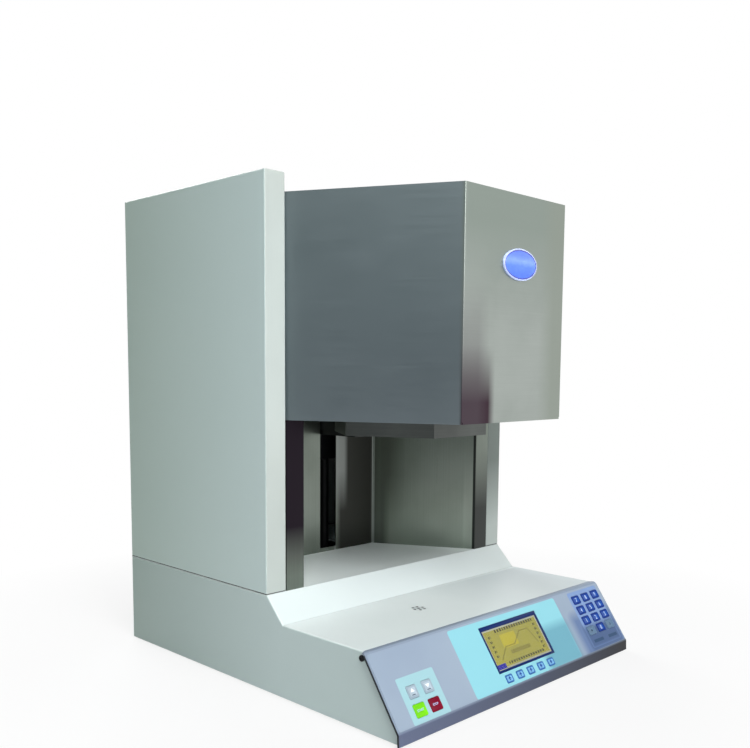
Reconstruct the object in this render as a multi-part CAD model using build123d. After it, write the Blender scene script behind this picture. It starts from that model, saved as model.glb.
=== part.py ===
from build123d import *
import os
from math import atan2, cos, degrees, hypot, pi, radians, sin, sqrt, tan

# Bench burn-out furnace with a hearth that a lift raises into the chamber from below.
# Millimetres. X runs left to right seen from the front, Y front to back, Z up.
# The origin is on the bench under the middle of the outline.

# ---- overall sizes ----
base_width = 450.0
column_depth = 305.0
column_above_chamber = 21.0
platform_z = 118.4
deck_z = 88.5
crease_z = 14.8
ramp_run = 29.0
deck_depth = 138.0
panel_run = 51.4
lip_reach = 0.6

# ---- sheet, walls and general clearances ----
base_sheet = 1.5
column_sheet = 1.2
column_thickness = 30.0
column_edge_radius = 2.0
column_seam_height = 1.2
column_seam_depth = 1.0
cover_sheet = 1.5
fit_gap = 0.5
running_gap = 0.05
press_gap = 0.02
base_edge_radius = 2.0
cut_past = 1.0              # cutting shapes reach this far past what they cut
cut_well_past = 10.0        # or this far, where nothing else is near
pick_within = 1.0           # edges this close to a face are picked with it
same_place = 0.1            # and this close where two edges lie near each other

# ---- feet and bottom plate ----
foot_height = 4.0
foot_radius = 14.0
foot_inset = 32.0
foot_chamfer = 1.0
base_hem_z = 2.0
bottom_sheet = 1.5
bottom_flange_height = 16.0
bottom_vent_length = 60.0
bottom_vent_width = 4.0
bottom_vent_pitch = 12.0
bottom_vent_count = 7

# ---- chamber jacket ----
chamber_height = 263.6
machine_space = 154.2
chamber_sheet = 1.2
jacket_edge_radius = 1.2
lid_vent_length = 56.0
lid_vent_width = 5.0
lid_vent_pitch = 14.0
lid_vent_count = 6
lid_vent_offset = 56.0
cover_vent_offset_share = 0.8
cover_flange_drop = 14.0
top_cover_behind_corner = 24.0
side_corners_behind_center = 25.6
lid_flange_height = 12.0
jacket_notch_width = 3.0
jacket_notch_height = 2.4
badge_width = 65.0
badge_height = 36.8
badge_thickness = 2.4
badge_rounding_share = 0.45
badge_offset_x = 4.0
badge_below_top = 80.5

# ---- muffle and what is in it ----
mouth_gap = 2.5
muffle_bore_step = 1.5
muffle_air_gap = 31.1
muffle_roof_height = 48.0
space_over_roof = 64.4
element_count = 8
element_radius = 5.0
element_gap = 0.6
element_set_in = 2.0
element_ledge = 8.0
element_top_seat = 12.0
seat_gap = 1.0
vent_bore_radius = 8.0
thermocouple_radius = 4.0
thermocouple_offset = 40.0
thermocouple_reach = 34.0
thermocouple_head_radius = 13.0
thermocouple_head_height = 24.0

# ---- hearth on its lift ----
lift_travel = 160.0
tray_gap = 2.8
tray_height = 22.0
tray_sheet = 1.5
tray_to_floor = 0.4
hearth_disc_height = 18.0
hearth_shoulder = 3.0
hearth_plug_radius = 78.0
hearth_plug_height = 30.0
hearth_plug_chamfer = 2.0
seal_width = 5.0
arm_width = 26.0
arm_height = 31.0
carriage_width = 104.0
carriage_depth = 36.0
carriage_height = 72.0
carriage_chamfer = 3.0
carriage_behind_chamber = 16.7
arm_below_hearth_top = 1.6
rod_radius = 6.0
rod_spacing = 68.0
bush_wall = 4.0
screw_radius = 6.0
motor_shaft_radius = 4.0
motor_shaft_length = 36.0
motor_shaft_overlap = 2.0
screw_end_chamfer = 1.0
nut_wall = 5.0
nut_flange_radius = 16.0
nut_flange_height = 4.0
motor_size = 56.0
motor_height = 62.0
motor_chamfer = 4.0
shelf_thickness = 4.0
frame_half_width = 60.0
motor_back_gap = 2.0
nut_stop_gap = 15.0
upper_shelf_gap = 30.0
frame_foot_depth = 26.0
mechanism_opening_gap = 6.0
screw_end_proud = 4.0
arm_shelf_reach = 50.0
arm_shelf_thickness = 6.0

# ---- recess under the chamber ----
liner_sheet = 1.5
liner_strip_width = 27.0
liner_back_half_width = 92.0
liner_set_in = 10.8
liner_return_depth = 20.0
slot_clearance = 2.6
slot_sill = 5.6
slot_run_out = 6.4

# ---- control panel, measured along the slope from its top edge ----
tray_metal = 2.0
tray_side_gap = 2.5
tray_top_return = 6.0
tray_bend_radius = 3.0
tray_flange_depth = 14.0
plate_overhang = 5.0
plate_corner = 9.0
tray_notch_reach = 8.0
panel_hole_past = 3.0
overlay_thickness = 0.6
overlay_margin = 2.5
overlay_corner = 3.0
lcd_left_x = -46.0
lcd_width = 115.0
lcd_height = 57.5
lcd_drop_share = 0.665
lcd_depth = 10.4
lcd_frame_side = 3.2
lcd_frame_top = 5.0
lcd_glass_depth = 1.8
window_thickness = 1.5
key_proud = 0.8
key_depth = 5.0
key_gap = 0.3
key_travel = 0.5
key_corner = 1.6
key_rim_radius = 0.5
arrow_key_size = (15.0, 14.0)
start_key_size = (17.5, 14.5)
soft_key_size = (13.0, 9.5)
pad_key_size = (17.0, 11.6)
left_group_inset = 33.8
left_group_pitch = 24.2
arrows_above_soft_keys = 25.0
start_above_soft_keys = 4.6
soft_first_x = -32.8
soft_pitch = 21.5
soft_keys_below_lcd = 4.05
pad_inset = 9.4
pad_pitch_x = 23.3
pad_first_row = 16.8
pad_pitch_row = 14.8
board_depth = 10.0
board_thickness = 1.6
board_margin = 12.0
board_end_gap = 4.0
switch_size = 6.0
board_overlap = 0.2
stud_radius = 3.0
stud_root = 0.5
upper_stud_row = 9.0
lower_stud_inset = 14.0
stud_inset = 16.0
stud_inner_x = 105.0
stud_beside_pad = 18.0

# ---- buzzer under the deck ----
buzzer_x = -56.0
buzzer_behind_deck_edge = 78.0
buzzer_radius = 11.0
buzzer_height = 8.0
buzzer_port_radius = 1.5
buzzer_port_depth = 3.0
buzzer_hole_radius = 2.1
buzzer_hole_ring = 7.2
buzzer_hole_count = 6

# ---- rear: fan, mains inlet, vents ----
fan_size = 80.0
fan_depth = 25.0
fan_rim = 2.5
fan_below_top = 138.0
fan_blade_count = 7
fan_hub_radius = 16.0
fan_tip_gap = 1.5
fan_shaft_radius = 2.5
fan_corner_radius = 4.0
fan_strut_width = 4.0
fan_strut_root = 1.5
fan_bearing_wall = 2.5
fan_bearing_floor = 1.5
fan_screw_depth = 12.0
fan_rotor_front_inset = 2.0
fan_rotor_back_gap = 0.6
fan_hub_floor = 3.0
fan_hub_bore_gap = 3.2
fan_shaft_end_gap = 2.0
fan_blade_root = 1.0
fan_blade_pitch = 38.0
fan_blade_thickness = 1.6
fan_blade_inset = 3.0
guard_proud = 5.0
guard_wire_radius = 0.9
guard_ring_count = 4
guard_ear_radius = 5.0
guard_ear_sheet = 1.5
guard_disc_radius = 8.0
guard_bar_end_gap = 1.0
fan_hole_inset = 4.25
fan_strut_depth = 4.0
fan_bearing_depth = 14.0
inlet_inset = 75.0
inlet_center_z = 62.0
inlet_width = 30.0
inlet_height = 66.0
inlet_flange = 2.0
inlet_depth = 28.0
inlet_corner_radius = 2.5
socket_width = 22.0
socket_height = 16.0
socket_depth = 16.0
socket_drop = 14.0
socket_pin_width = 2.0
socket_pin_height = 5.0
socket_pin_inset = 4.0
rocker_width = 14.0
rocker_height = 21.0
rocker_rise = 16.0
rocker_tilt = 7.0
rocker_gap = 0.4
rocker_pin_radius = 1.5
rocker_pin_reach = 1.6
rocker_pin_hole_reach = 2.0
rocker_end_gap = 1.2
rocker_face_y = 3.6
rocker_shoulder_y = -1.5
rocker_shoulder_inset = 1.0
rocker_back_y = -4.5
rocker_back_half = 3.0
rocker_pivot_inset = 2.0
rocker_well_depth = 9.0
socket_pin_places = ((-7.0, -2.0), (0.0, 2.5), (7.0, -2.0))
socket_corner_cut = 4.5
rear_vent_count = 6
rear_vent_length = 90.0
rear_vent_width = 4.0
rear_vent_pitch = 12.0
rear_vent_offset_share = 0.75
rear_vents_below_fan = 140.0

# ---- screws ----
screw_shank_radius = 1.5
screw_hole_radius = 1.6
screw_head_radius = 3.4
screw_head_height = 2.0
screw_rounding_share = 0.45
screw_recess_radius_share = 0.42
screw_recess_depth_share = 0.6
side_screw_head_radius = 3.6
side_screw_below_deck = 7.5
side_screw_back = 6.5
rear_screw_end_inset = 25.0
base_screw_inset = 40.0
top_screw_x = 110.0
screw_bite = 2.0

# ---- places worked out from the sizes above ----
front_reach = ramp_run + deck_depth + panel_run + lip_reach
column_front_y = (front_reach - column_depth - guard_proud) / 2
column_back_y = column_front_y + column_depth
cover_front_y = column_back_y - cover_sheet
cover_through = (cover_front_y - cut_well_past, cover_front_y + cut_well_past)
ramp_foot_y = column_front_y - ramp_run
deck_edge_y = ramp_foot_y - deck_depth
crease_y = deck_edge_y - panel_run
lip_y = crease_y - lip_reach
half_width = base_width / 2
column_inner_x = half_width - column_thickness
arm_lowest_z = platform_z + slot_sill + slot_run_out
arm_bottom_z = arm_lowest_z + lift_travel
hearth_top_z = arm_bottom_z + arm_height + arm_below_hearth_top
chamber_bottom_z = hearth_top_z + tray_to_floor
chamber_top_z = chamber_bottom_z + chamber_height
column_top_z = chamber_top_z + column_above_chamber
chamber_apothem = (column_inner_x - fit_gap) * sqrt(3) / 2
chamber_back_y = column_back_y - machine_space
chamber_center_y = chamber_back_y - chamber_apothem
chamber_front_y = chamber_center_y - chamber_apothem
chamber_corner_x = column_inner_x - fit_gap
chamber_side_y = chamber_center_y + side_corners_behind_center
chamber_corners = [
    (chamber_corner_x / 2, chamber_front_y),
    (chamber_corner_x, chamber_side_y),
    (chamber_corner_x / 2, chamber_back_y),
    (-chamber_corner_x / 2, chamber_back_y),
    (-chamber_corner_x, chamber_side_y),
    (-chamber_corner_x / 2, chamber_front_y),
]
slant_run_x = chamber_corner_x / 2
slant_run_y = chamber_side_y - chamber_front_y
slant_distance = slant_run_x * (slant_run_y + chamber_apothem) / hypot(slant_run_x, slant_run_y)
badge_center_z = chamber_top_z - badge_below_top
mouth_radius = hearth_plug_radius + mouth_gap
muffle_bore_radius = mouth_radius + muffle_bore_step
muffle_outer_radius = chamber_apothem - chamber_sheet - muffle_air_gap
muffle_wall_height = chamber_height - chamber_sheet - muffle_roof_height - space_over_roof
element_ring_radius = muffle_bore_radius + element_set_in
hearth_disc_radius = hearth_plug_radius + hearth_shoulder
panel_drop = deck_z - crease_z
panel_length = hypot(panel_run, panel_drop)
panel_angle = atan2(panel_drop, panel_run)
panel_plane = Plane(
    origin=(0, deck_edge_y, deck_z),
    x_dir=(1, 0, 0),
    z_dir=(0, -sin(panel_angle), cos(panel_angle)),
)
spare_length = panel_length - lcd_height - soft_keys_below_lcd - soft_key_size[1]
lcd_top = lcd_drop_share * spare_length
soft_row = lcd_top + lcd_height + soft_keys_below_lcd + soft_key_size[1] / 2
arrow_row = soft_row - arrows_above_soft_keys
start_row = soft_row - start_above_soft_keys
tray_half_width = half_width - base_sheet - tray_side_gap
plate_half_width = half_width + plate_overhang
bottom_top_z = foot_height + bottom_sheet
tray_bottom_z = hearth_top_z - tray_height
tray_share = (hearth_disc_radius + tray_gap + tray_sheet) / slant_distance
tray_reach = tray_share * chamber_apothem
tray_corners = [(x * tray_share, chamber_center_y + (y - chamber_center_y) * tray_share)
                for x, y in chamber_corners]
liner_front_half_width = column_inner_x - fit_gap - liner_strip_width
liner_back_y = chamber_back_y - liner_set_in
wall_back_y = liner_back_y + liner_sheet
slot_half_width = arm_width / 2 + slot_clearance
carriage_front_y = chamber_back_y + carriage_behind_chamber
screw_y = carriage_front_y + carriage_depth / 2
carriage_top_z = hearth_top_z
carriage_bottom_z = carriage_top_z - carriage_height
nut_lowest_z = carriage_bottom_z - nut_flange_height - lift_travel
lower_shelf_z = nut_lowest_z - nut_stop_gap - shelf_thickness
upper_shelf_z = carriage_top_z + upper_shelf_gap
frame_back_y = screw_y + motor_size / 2 + motor_back_gap
muffle_top_z = chamber_bottom_z + chamber_sheet + muffle_wall_height
roof_top_z = muffle_top_z + muffle_roof_height
fan_back_y = cover_front_y
fan_bore_radius = fan_size / 2 - fan_rim
fan_tip_radius = fan_bore_radius - fan_tip_gap
fan_center_z = column_top_z - fan_below_top
rear_vent_z = fan_center_z - rear_vents_below_fan
inlet_x = -half_width + inlet_inset
overlay_half_width = plate_half_width - overlay_margin
buzzer_y = deck_edge_y + buzzer_behind_deck_edge
left_group_x = -tray_half_width + left_group_inset
pad_first_x = tray_half_width - pad_inset - 2 * pad_pitch_x


def block(x_span, y_span, z_span):
    """A box between two limits on each axis."""
    size = [span[1] - span[0] for span in (x_span, y_span, z_span)]
    middle = [(span[1] + span[0]) / 2 for span in (x_span, y_span, z_span)]
    return Pos(*middle) * Box(*size)


def upright(radius, z_span, x=0.0, y=0.0):
    """A cylinder along Z between two heights."""
    height = z_span[1] - z_span[0]
    return Pos(x, y, (z_span[0] + z_span[1]) / 2) * Cylinder(radius, height)


def along_y(radius, y_span, x=0.0, z=0.0):
    """A cylinder along Y between two depths."""
    height = y_span[1] - y_span[0]
    return Pos(x, (y_span[0] + y_span[1]) / 2, z) * Rot(90, 0, 0) * Cylinder(radius, height)


def along_x(radius, x_span, y=0.0, z=0.0):
    """A cylinder along X between two sides."""
    height = x_span[1] - x_span[0]
    return Pos((x_span[0] + x_span[1]) / 2, y, z) * Rot(0, 90, 0) * Cylinder(radius, height)


def six_sided(corners, inset, z_span):
    """An upright six-sided prism, its outline moved inwards by inset."""
    outline = make_face(Polyline(*corners, close=True))
    if inset:
        outline = offset(outline, -inset, kind=Kind.INTERSECTION)
    return Pos(0, 0, z_span[0]) * extrude(outline, z_span[1] - z_span[0])


def side_prism(points, x_span):
    """A prism along X over an outline given as (y, z) points."""
    outline = make_face(Polyline(*[(0, y, z) for y, z in points], close=True))
    return Pos(x_span[0], 0, 0) * extrude(outline, x_span[1] - x_span[0], dir=(1, 0, 0))


def parallel_path(points, distance):
    """The path beside an open path of (a, b) points, mitred at its corners, to the left."""
    normals = []
    for start, end in zip(points[:-1], points[1:]):
        run = (end[0] - start[0], end[1] - start[1])
        length = hypot(*run)
        normals.append((-run[1] / length, run[0] / length))
    result = []
    for index, point in enumerate(points):
        before = normals[max(index - 1, 0)]
        after = normals[min(index, len(normals) - 1)]
        share = 1 + before[0] * after[0] + before[1] * after[1]
        shift_a = (before[0] + after[0]) * distance / share
        shift_b = (before[1] + after[1]) * distance / share
        result.append((point[0] + shift_a, point[1] + shift_b))
    return result


def panel_box(x_center, down, width, height, low, high, corner=0.0):
    """A box square to the control panel, from height low to height high above its face."""
    shape = Box(width, height, high - low)
    if corner:
        shape = fillet(shape.edges().filter_by(Axis.Z), corner)
    return panel_plane * Pos(x_center, -down, (low + high) / 2) * shape


def panel_peg(x_center, down, radius, low, high):
    """A round peg square to the control panel."""
    return panel_plane * Pos(x_center, -down, (low + high) / 2) * Cylinder(radius, high - low)


# ---- screws and the places they go ----

def pan_screw(grip, head_radius=screw_head_radius):
    """A screw along +Z: its head stands above z = 0 and its shank goes below."""
    head = Pos(0, 0, screw_head_height / 2) * Cylinder(head_radius, screw_head_height)
    head = fillet(head.edges().sort_by(Axis.Z)[-1], screw_head_height * screw_rounding_share)
    recess = Pos(0, 0, screw_head_height) * RegularPolygon(head_radius * screw_recess_radius_share, 6)
    head -= extrude(recess, -screw_head_height * screw_recess_depth_share)
    shank = Pos(0, 0, -grip / 2) * Cylinder(screw_shank_radius, grip)
    return head + shank


rear_screw_x = half_width - column_thickness / 2
rear_screw_heights = [
    platform_z + rear_screw_end_inset,
    (platform_z + column_top_z) / 2,
    column_top_z - rear_screw_end_inset,
]
rear_screw_spots = [(side * rear_screw_x, z) for side in (-1, 1) for z in rear_screw_heights]
base_screw_z = bottom_top_z + bottom_flange_height / 2
base_screw_spots = [(side * (half_width - base_screw_inset), base_screw_z) for side in (-1, 1)]
top_screw_z = chamber_top_z - cover_sheet - cover_flange_drop / 2
top_screw_spots = [(side * top_screw_x, top_screw_z) for side in (-1, 1)]
side_screw_y = deck_edge_y + side_screw_back
side_screw_z = deck_z - side_screw_below_deck


def make_case_screws():
    grip = cover_sheet + column_sheet + screw_bite
    screws = []
    for x, z in rear_screw_spots + base_screw_spots + top_screw_spots:
        screws.append(Pos(x, column_back_y, z) * Rot(-90, 0, 0) * pan_screw(grip))
    side_grip = base_sheet + tray_side_gap + tray_metal + screw_bite / 2
    for side in (-1, 1):
        turn = Rot(0, 90 * side, 0)
        screws.append(Pos(side * half_width, side_screw_y, side_screw_z) * turn
                      * pan_screw(side_grip, side_screw_head_radius))
    return Compound(children=screws)


# ---- base ----

base_path = [
    (column_back_y, platform_z),
    (column_front_y, platform_z),
    (ramp_foot_y, deck_z),
    (deck_edge_y, deck_z),
    (crease_y, crease_z),
    (lip_y, base_hem_z),
]


def make_base_shell():
    back_y = cover_front_y
    outline = [(back_y, base_hem_z), (back_y, platform_z)] + base_path[1:]
    shell = side_prism(outline, (-half_width, half_width))
    long_edges = shell.edges().filter_by(lambda edge: edge.center().X**2 > (half_width - pick_within) ** 2)
    top_edges = long_edges.filter_by(
        lambda edge: edge.center().Z > deck_z - pick_within and edge.center().Y < back_y - pick_within)
    shell = fillet(top_edges, base_edge_radius)
    inner = parallel_path([(back_y + cut_well_past, platform_z)] + base_path[1:4], base_sheet)
    cut = [(back_y + cut_well_past, -cut_well_past)] + inner + [(deck_edge_y, -cut_well_past)]
    shell -= side_prism(cut, (-half_width + base_sheet, half_width - base_sheet))
    opening_y = deck_edge_y + tray_top_return + fit_gap
    seat = [(opening_y, deck_z)] + base_path[3:5] + [(lip_y, -cut_well_past)]
    outside = [(lip_y - cut_well_past, -cut_well_past), (lip_y - cut_well_past, deck_z + cut_well_past),
               (opening_y, deck_z + cut_well_past)]
    shell -= side_prism(parallel_path(seat, tray_metal + fit_gap) + outside,
                        (-half_width - cut_past, half_width + cut_past))
    inside_x = half_width - base_sheet
    shell -= block((-inside_x, inside_x), (lip_y - cut_well_past, opening_y),
                   (-cut_well_past, deck_z + cut_well_past))
    mechanism_x = frame_half_width + fit_gap
    mechanism_y = (wall_back_y + mechanism_opening_gap, frame_back_y + shelf_thickness + fit_gap)
    shell -= block((-mechanism_x, mechanism_x), mechanism_y,
                   (platform_z - cut_well_past, platform_z + cut_well_past))
    through = (deck_z - cut_well_past, deck_z + cut_well_past)
    for index in range(buzzer_hole_count):
        turn = 2 * pi * index / buzzer_hole_count
        x = buzzer_x + buzzer_hole_ring * cos(turn)
        y = buzzer_y + buzzer_hole_ring * sin(turn)
        shell -= upright(buzzer_hole_radius, through, x, y)
    shell -= upright(buzzer_hole_radius, through, buzzer_x, buzzer_y)
    for side in (-1, 1):
        span = sorted((side * (half_width + cut_well_past), side * (half_width - base_sheet - cut_past)))
        shell -= along_x(screw_hole_radius, span, side_screw_y, side_screw_z)
    return shell


def make_bottom_plate():
    half = half_width - base_sheet - fit_gap
    front_y = lip_y + tray_metal + fit_gap
    plate = block((-half, half), (front_y, cover_front_y), (foot_height, bottom_top_z))
    plate += block((-half, half), (cover_front_y - bottom_sheet, cover_front_y),
                   (bottom_top_z, bottom_top_z + bottom_flange_height))
    start = -(bottom_vent_count - 1) / 2
    for index in range(bottom_vent_count):
        y = column_front_y + (start + index) * bottom_vent_pitch
        for side in (-1, 1):
            slot = SlotOverall(bottom_vent_length, bottom_vent_width)
            place = Pos(side * half_width / 2, y, foot_height - cut_past)
            plate -= place * extrude(slot, bottom_sheet + 2 * cut_past)
    for x, z in base_screw_spots:
        plate -= along_y(screw_hole_radius, cover_through, x, z)
    return plate


def make_rubber_feet():
    feet = []
    for x in (-half_width + foot_inset, half_width - foot_inset):
        for y in (lip_y + foot_inset, column_back_y - foot_inset):
            foot = upright(foot_radius, (0, foot_height), x, y)
            foot = chamfer(foot.edges().sort_by(Axis.Z)[0], foot_chamfer)
            feet.append(foot)
    return Compound(children=feet)


# ---- columns ----

def make_column(side):
    outer_x = half_width
    inner_x = column_inner_x
    y_span = (column_front_y, cover_front_y)
    column = block((inner_x, outer_x), y_span, (platform_z, column_top_z))
    front = column.edges().filter_by(Axis.Z).sort_by(Axis.Y)[:2]
    top = column.faces().sort_by(Axis.Z)[-1].edges()
    column = fillet(front + top, column_edge_radius)
    wall = column_sheet
    column -= block((inner_x + wall, outer_x - wall), (y_span[0] + wall, y_span[1] - wall),
                    (platform_z - cut_past, column_top_z - wall))
    inset = block((inner_x + column_seam_depth, outer_x - column_seam_depth),
                  (y_span[0] + column_seam_depth, y_span[1]),
                  (platform_z, platform_z + column_seam_height))
    seam = block((inner_x - 1, outer_x + 1), (y_span[0] - 1, y_span[1]),
                 (platform_z, platform_z + column_seam_height))
    column -= seam - inset
    for x, z in rear_screw_spots:
        if x > 0:
            column -= along_y(screw_hole_radius, cover_through, x, z)
    if side < 0:
        column = mirror(column, Plane.YZ)
    return column


# ---- rear cover and top cover ----

def make_rear_cover():
    half = half_width - fit_gap
    y_span = (cover_front_y, column_back_y)
    cover = block((-half, half), y_span, (base_hem_z + fit_gap, column_top_z - fit_gap))
    through = (cover_front_y - cut_past, column_back_y + cut_past)
    cover -= along_y(fan_bore_radius, through, 0, fan_center_z)
    for x, z in rear_screw_spots + base_screw_spots + top_screw_spots + guard_screw_spots:
        cover -= along_y(screw_hole_radius, through, x, z)
    hole_half_x = inlet_width / 2 - inlet_flange + fit_gap
    hole_half_z = inlet_height / 2 - inlet_flange + fit_gap
    cover -= block((inlet_x - hole_half_x, inlet_x + hole_half_x), through,
                   (inlet_center_z - hole_half_z, inlet_center_z + hole_half_z))
    for index in range(rear_vent_count):
        z = rear_vent_z - index * rear_vent_pitch
        for side in (-1, 1):
            place = Pos(side * rear_vent_length * rear_vent_offset_share, through[1], z) * Rot(90, 0, 0)
            cover -= place * extrude(SlotOverall(rear_vent_length, rear_vent_width), cut_well_past)
    return cover


def make_top_cover():
    half = column_inner_x - fit_gap
    z_span = (chamber_top_z - cover_sheet, chamber_top_z)
    y_span = (chamber_side_y + top_cover_behind_corner, cover_front_y)
    cover = block((-half, half), y_span, z_span)
    flange_z = (chamber_top_z - cover_sheet - cover_flange_drop, chamber_top_z - cover_sheet)
    cover += block((-half, half), (cover_front_y - cover_sheet, cover_front_y), flange_z)
    for side in (-1, 1):
        span = sorted((side * half, side * (half - cover_sheet)))
        cover += block(span, y_span, flange_z)
    cover -= six_sided(chamber_corners, -fit_gap, (flange_z[0] - 1, chamber_top_z + 1))
    for x, z in top_screw_spots:
        cover -= along_y(screw_hole_radius, (cover_front_y - cut_well_past, cover_front_y + cut_past), x, z)
    vent_y = (chamber_center_y + chamber_apothem + cover_front_y) / 2
    low_z = chamber_top_z - cut_well_past / 2
    for index in range(lid_vent_count):
        for side in (-1, 1):
            y = vent_y + (index - (lid_vent_count - 1) / 2) * lid_vent_pitch
            slot = extrude(SlotOverall(lid_vent_length, lid_vent_width), cut_well_past)
            cover -= Pos(side * lid_vent_length * cover_vent_offset_share, y, low_z) * slot
    return cover


# ---- recess liner ----

def make_recess_liner():
    front_y = column_front_y
    back_y = liner_back_y
    strip_x = column_inner_x - fit_gap
    right = [
        (strip_x, front_y),
        (liner_front_half_width, front_y),
        (liner_back_half_width, back_y),
        (-liner_back_half_width, back_y),
        (-liner_front_half_width, front_y),
        (-strip_x, front_y),
    ]
    behind = parallel_path(right, -liner_sheet)
    outline = make_face(Polyline(*(right + behind[::-1]), close=True))
    height = chamber_bottom_z - platform_z
    liner = Pos(0, 0, platform_z) * extrude(outline, height)
    for side in (-1, 1):
        span = sorted((side * strip_x, side * (strip_x - liner_sheet)))
        liner += block(span, (front_y, front_y + liner_return_depth), (platform_z, chamber_bottom_z))
    slot_bottom = platform_z + slot_sill
    liner -= block((-slot_half_width, slot_half_width),
                   (back_y - cut_well_past, back_y + cut_well_past),
                   (slot_bottom, chamber_bottom_z + cut_past))
    return liner


# ---- chamber ----

def make_chamber_casing():
    z_span = (chamber_bottom_z, chamber_top_z)
    casing = six_sided(chamber_corners, 0, z_span)
    casing = fillet(casing.edges().filter_by(Axis.Z), jacket_edge_radius)
    casing -= six_sided(chamber_corners, chamber_sheet, (z_span[0] - 1, z_span[1] + 1))
    notch_z = (z_span[0] - 1, z_span[0] + jacket_notch_height)
    for x, y in chamber_corners:
        if y < chamber_back_y:
            casing -= upright(jacket_notch_width / 2, notch_z, x, y)
    return casing


def make_chamber_lid():
    inset = chamber_sheet + fit_gap / 2
    lid = six_sided(chamber_corners, inset, (chamber_top_z - chamber_sheet, chamber_top_z))
    low_z = chamber_top_z - cut_well_past / 2
    lid -= upright(vent_bore_radius, (low_z, low_z + cut_well_past), 0, chamber_center_y)
    for index in range(lid_vent_count):
        for side in (-1, 1):
            y = chamber_center_y + (index - (lid_vent_count - 1) / 2) * lid_vent_pitch
            slot = extrude(SlotOverall(lid_vent_length, lid_vent_width), cut_well_past)
            lid -= Pos(side * lid_vent_offset, y, low_z) * slot
    flange_bottom_z = chamber_top_z - lid_flange_height
    flange = six_sided(chamber_corners, inset, (flange_bottom_z, chamber_top_z))
    flange -= six_sided(chamber_corners, inset + chamber_sheet,
                        (flange_bottom_z - cut_past, chamber_top_z + cut_past))
    return lid + flange


def make_chamber_floor():
    z_span = (chamber_bottom_z, chamber_bottom_z + chamber_sheet)
    floor = six_sided(chamber_corners, chamber_sheet + fit_gap / 2, z_span)
    return floor - upright(mouth_radius, (z_span[0] - 1, z_span[1] + 1), 0, chamber_center_y)


def element_places():
    places = []
    for index in range(element_count):
        turn = 2 * pi * (index + 0.5) / element_count
        x = element_ring_radius * cos(turn)
        y = chamber_center_y + element_ring_radius * sin(turn)
        places.append((x, y))
    return places


def make_muffle_wall():
    bottom = chamber_bottom_z + chamber_sheet
    wall = upright(muffle_outer_radius, (bottom, muffle_top_z), 0, chamber_center_y)
    wall -= upright(muffle_bore_radius, (bottom - cut_past, muffle_top_z + cut_past), 0,
                    chamber_center_y)
    for x, y in element_places():
        wall -= upright(element_radius + element_gap, (bottom + element_ledge, muffle_top_z + cut_past),
                        x, y)
    return wall


def make_muffle_roof():
    roof = upright(muffle_outer_radius, (muffle_top_z, roof_top_z), 0, chamber_center_y)
    through = (muffle_top_z - cut_past, roof_top_z + cut_past)
    roof -= upright(vent_bore_radius, through, 0, chamber_center_y)
    roof -= upright(thermocouple_radius + press_gap, through,
                    thermocouple_offset, chamber_center_y)
    for x, y in element_places():
        roof -= upright(element_radius + element_gap / 2,
                        (muffle_top_z - cut_past, muffle_top_z + element_top_seat + seat_gap), x, y)
    return roof


def make_heating_elements():
    bottom = chamber_bottom_z + chamber_sheet + element_ledge
    top = muffle_top_z + element_top_seat
    rods = [upright(element_radius, (bottom, top), x, y) for x, y in element_places()]
    return Compound(children=rods)


def make_thermocouple():
    x = thermocouple_offset
    sheath = upright(thermocouple_radius, (muffle_top_z - thermocouple_reach, roof_top_z + 1),
                     x, chamber_center_y)
    head = upright(thermocouple_head_radius, (roof_top_z, roof_top_z + thermocouple_head_height),
                   x, chamber_center_y)
    return sheath + head


def make_front_badge():
    badge = extrude(Ellipse(badge_width / 2, badge_height / 2), badge_thickness)
    badge = fillet(badge.edges().sort_by(Axis.Z)[-1], badge_thickness * badge_rounding_share)
    place = Pos(badge_offset_x, chamber_front_y, badge_center_z) * Rot(90, 0, 0)
    return place * badge


# ---- hearth and what carries it ----

def make_hearth_tray():
    tray = six_sided(tray_corners, 0, (tray_bottom_z, hearth_top_z))
    return tray - six_sided(tray_corners, tray_sheet, (tray_bottom_z + tray_sheet, hearth_top_z + cut_past))


def make_hearth_block():
    bottom = tray_bottom_z + tray_sheet
    shoulder = bottom + hearth_disc_height
    disc = upright(hearth_disc_radius, (bottom, shoulder), 0, chamber_center_y)
    top = chamber_bottom_z + hearth_plug_height
    plug = upright(hearth_plug_radius, (bottom, top), 0, chamber_center_y)
    plug = chamfer(plug.edges().sort_by(Axis.Z)[-1], hearth_plug_chamfer)
    return disc + plug


def make_hearth_seal():
    shoulder = tray_bottom_z + tray_sheet + hearth_disc_height
    outer = hearth_plug_radius + press_gap + seal_width
    z_span = (shoulder, chamber_bottom_z - fit_gap / 2)
    seal = upright(outer, z_span, 0, chamber_center_y)
    return seal - upright(hearth_plug_radius + press_gap, (z_span[0] - 1, z_span[1] + 1),
                          0, chamber_center_y)


def make_lift_arm():
    front_y = chamber_center_y + tray_reach
    half = arm_width / 2
    arm = block((-half, half), (front_y, carriage_front_y), (arm_bottom_z, arm_bottom_z + arm_height))
    arm += block((-half, half), (front_y - arm_shelf_reach, front_y + 1),
                 (tray_bottom_z - arm_shelf_thickness, tray_bottom_z))
    shelf_nose = arm.edges().filter_by(Axis.X).sort_by(Axis.Y)[:2].sort_by(Axis.Z)[0]
    return chamfer(shelf_nose, arm_shelf_thickness / 2)


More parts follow.
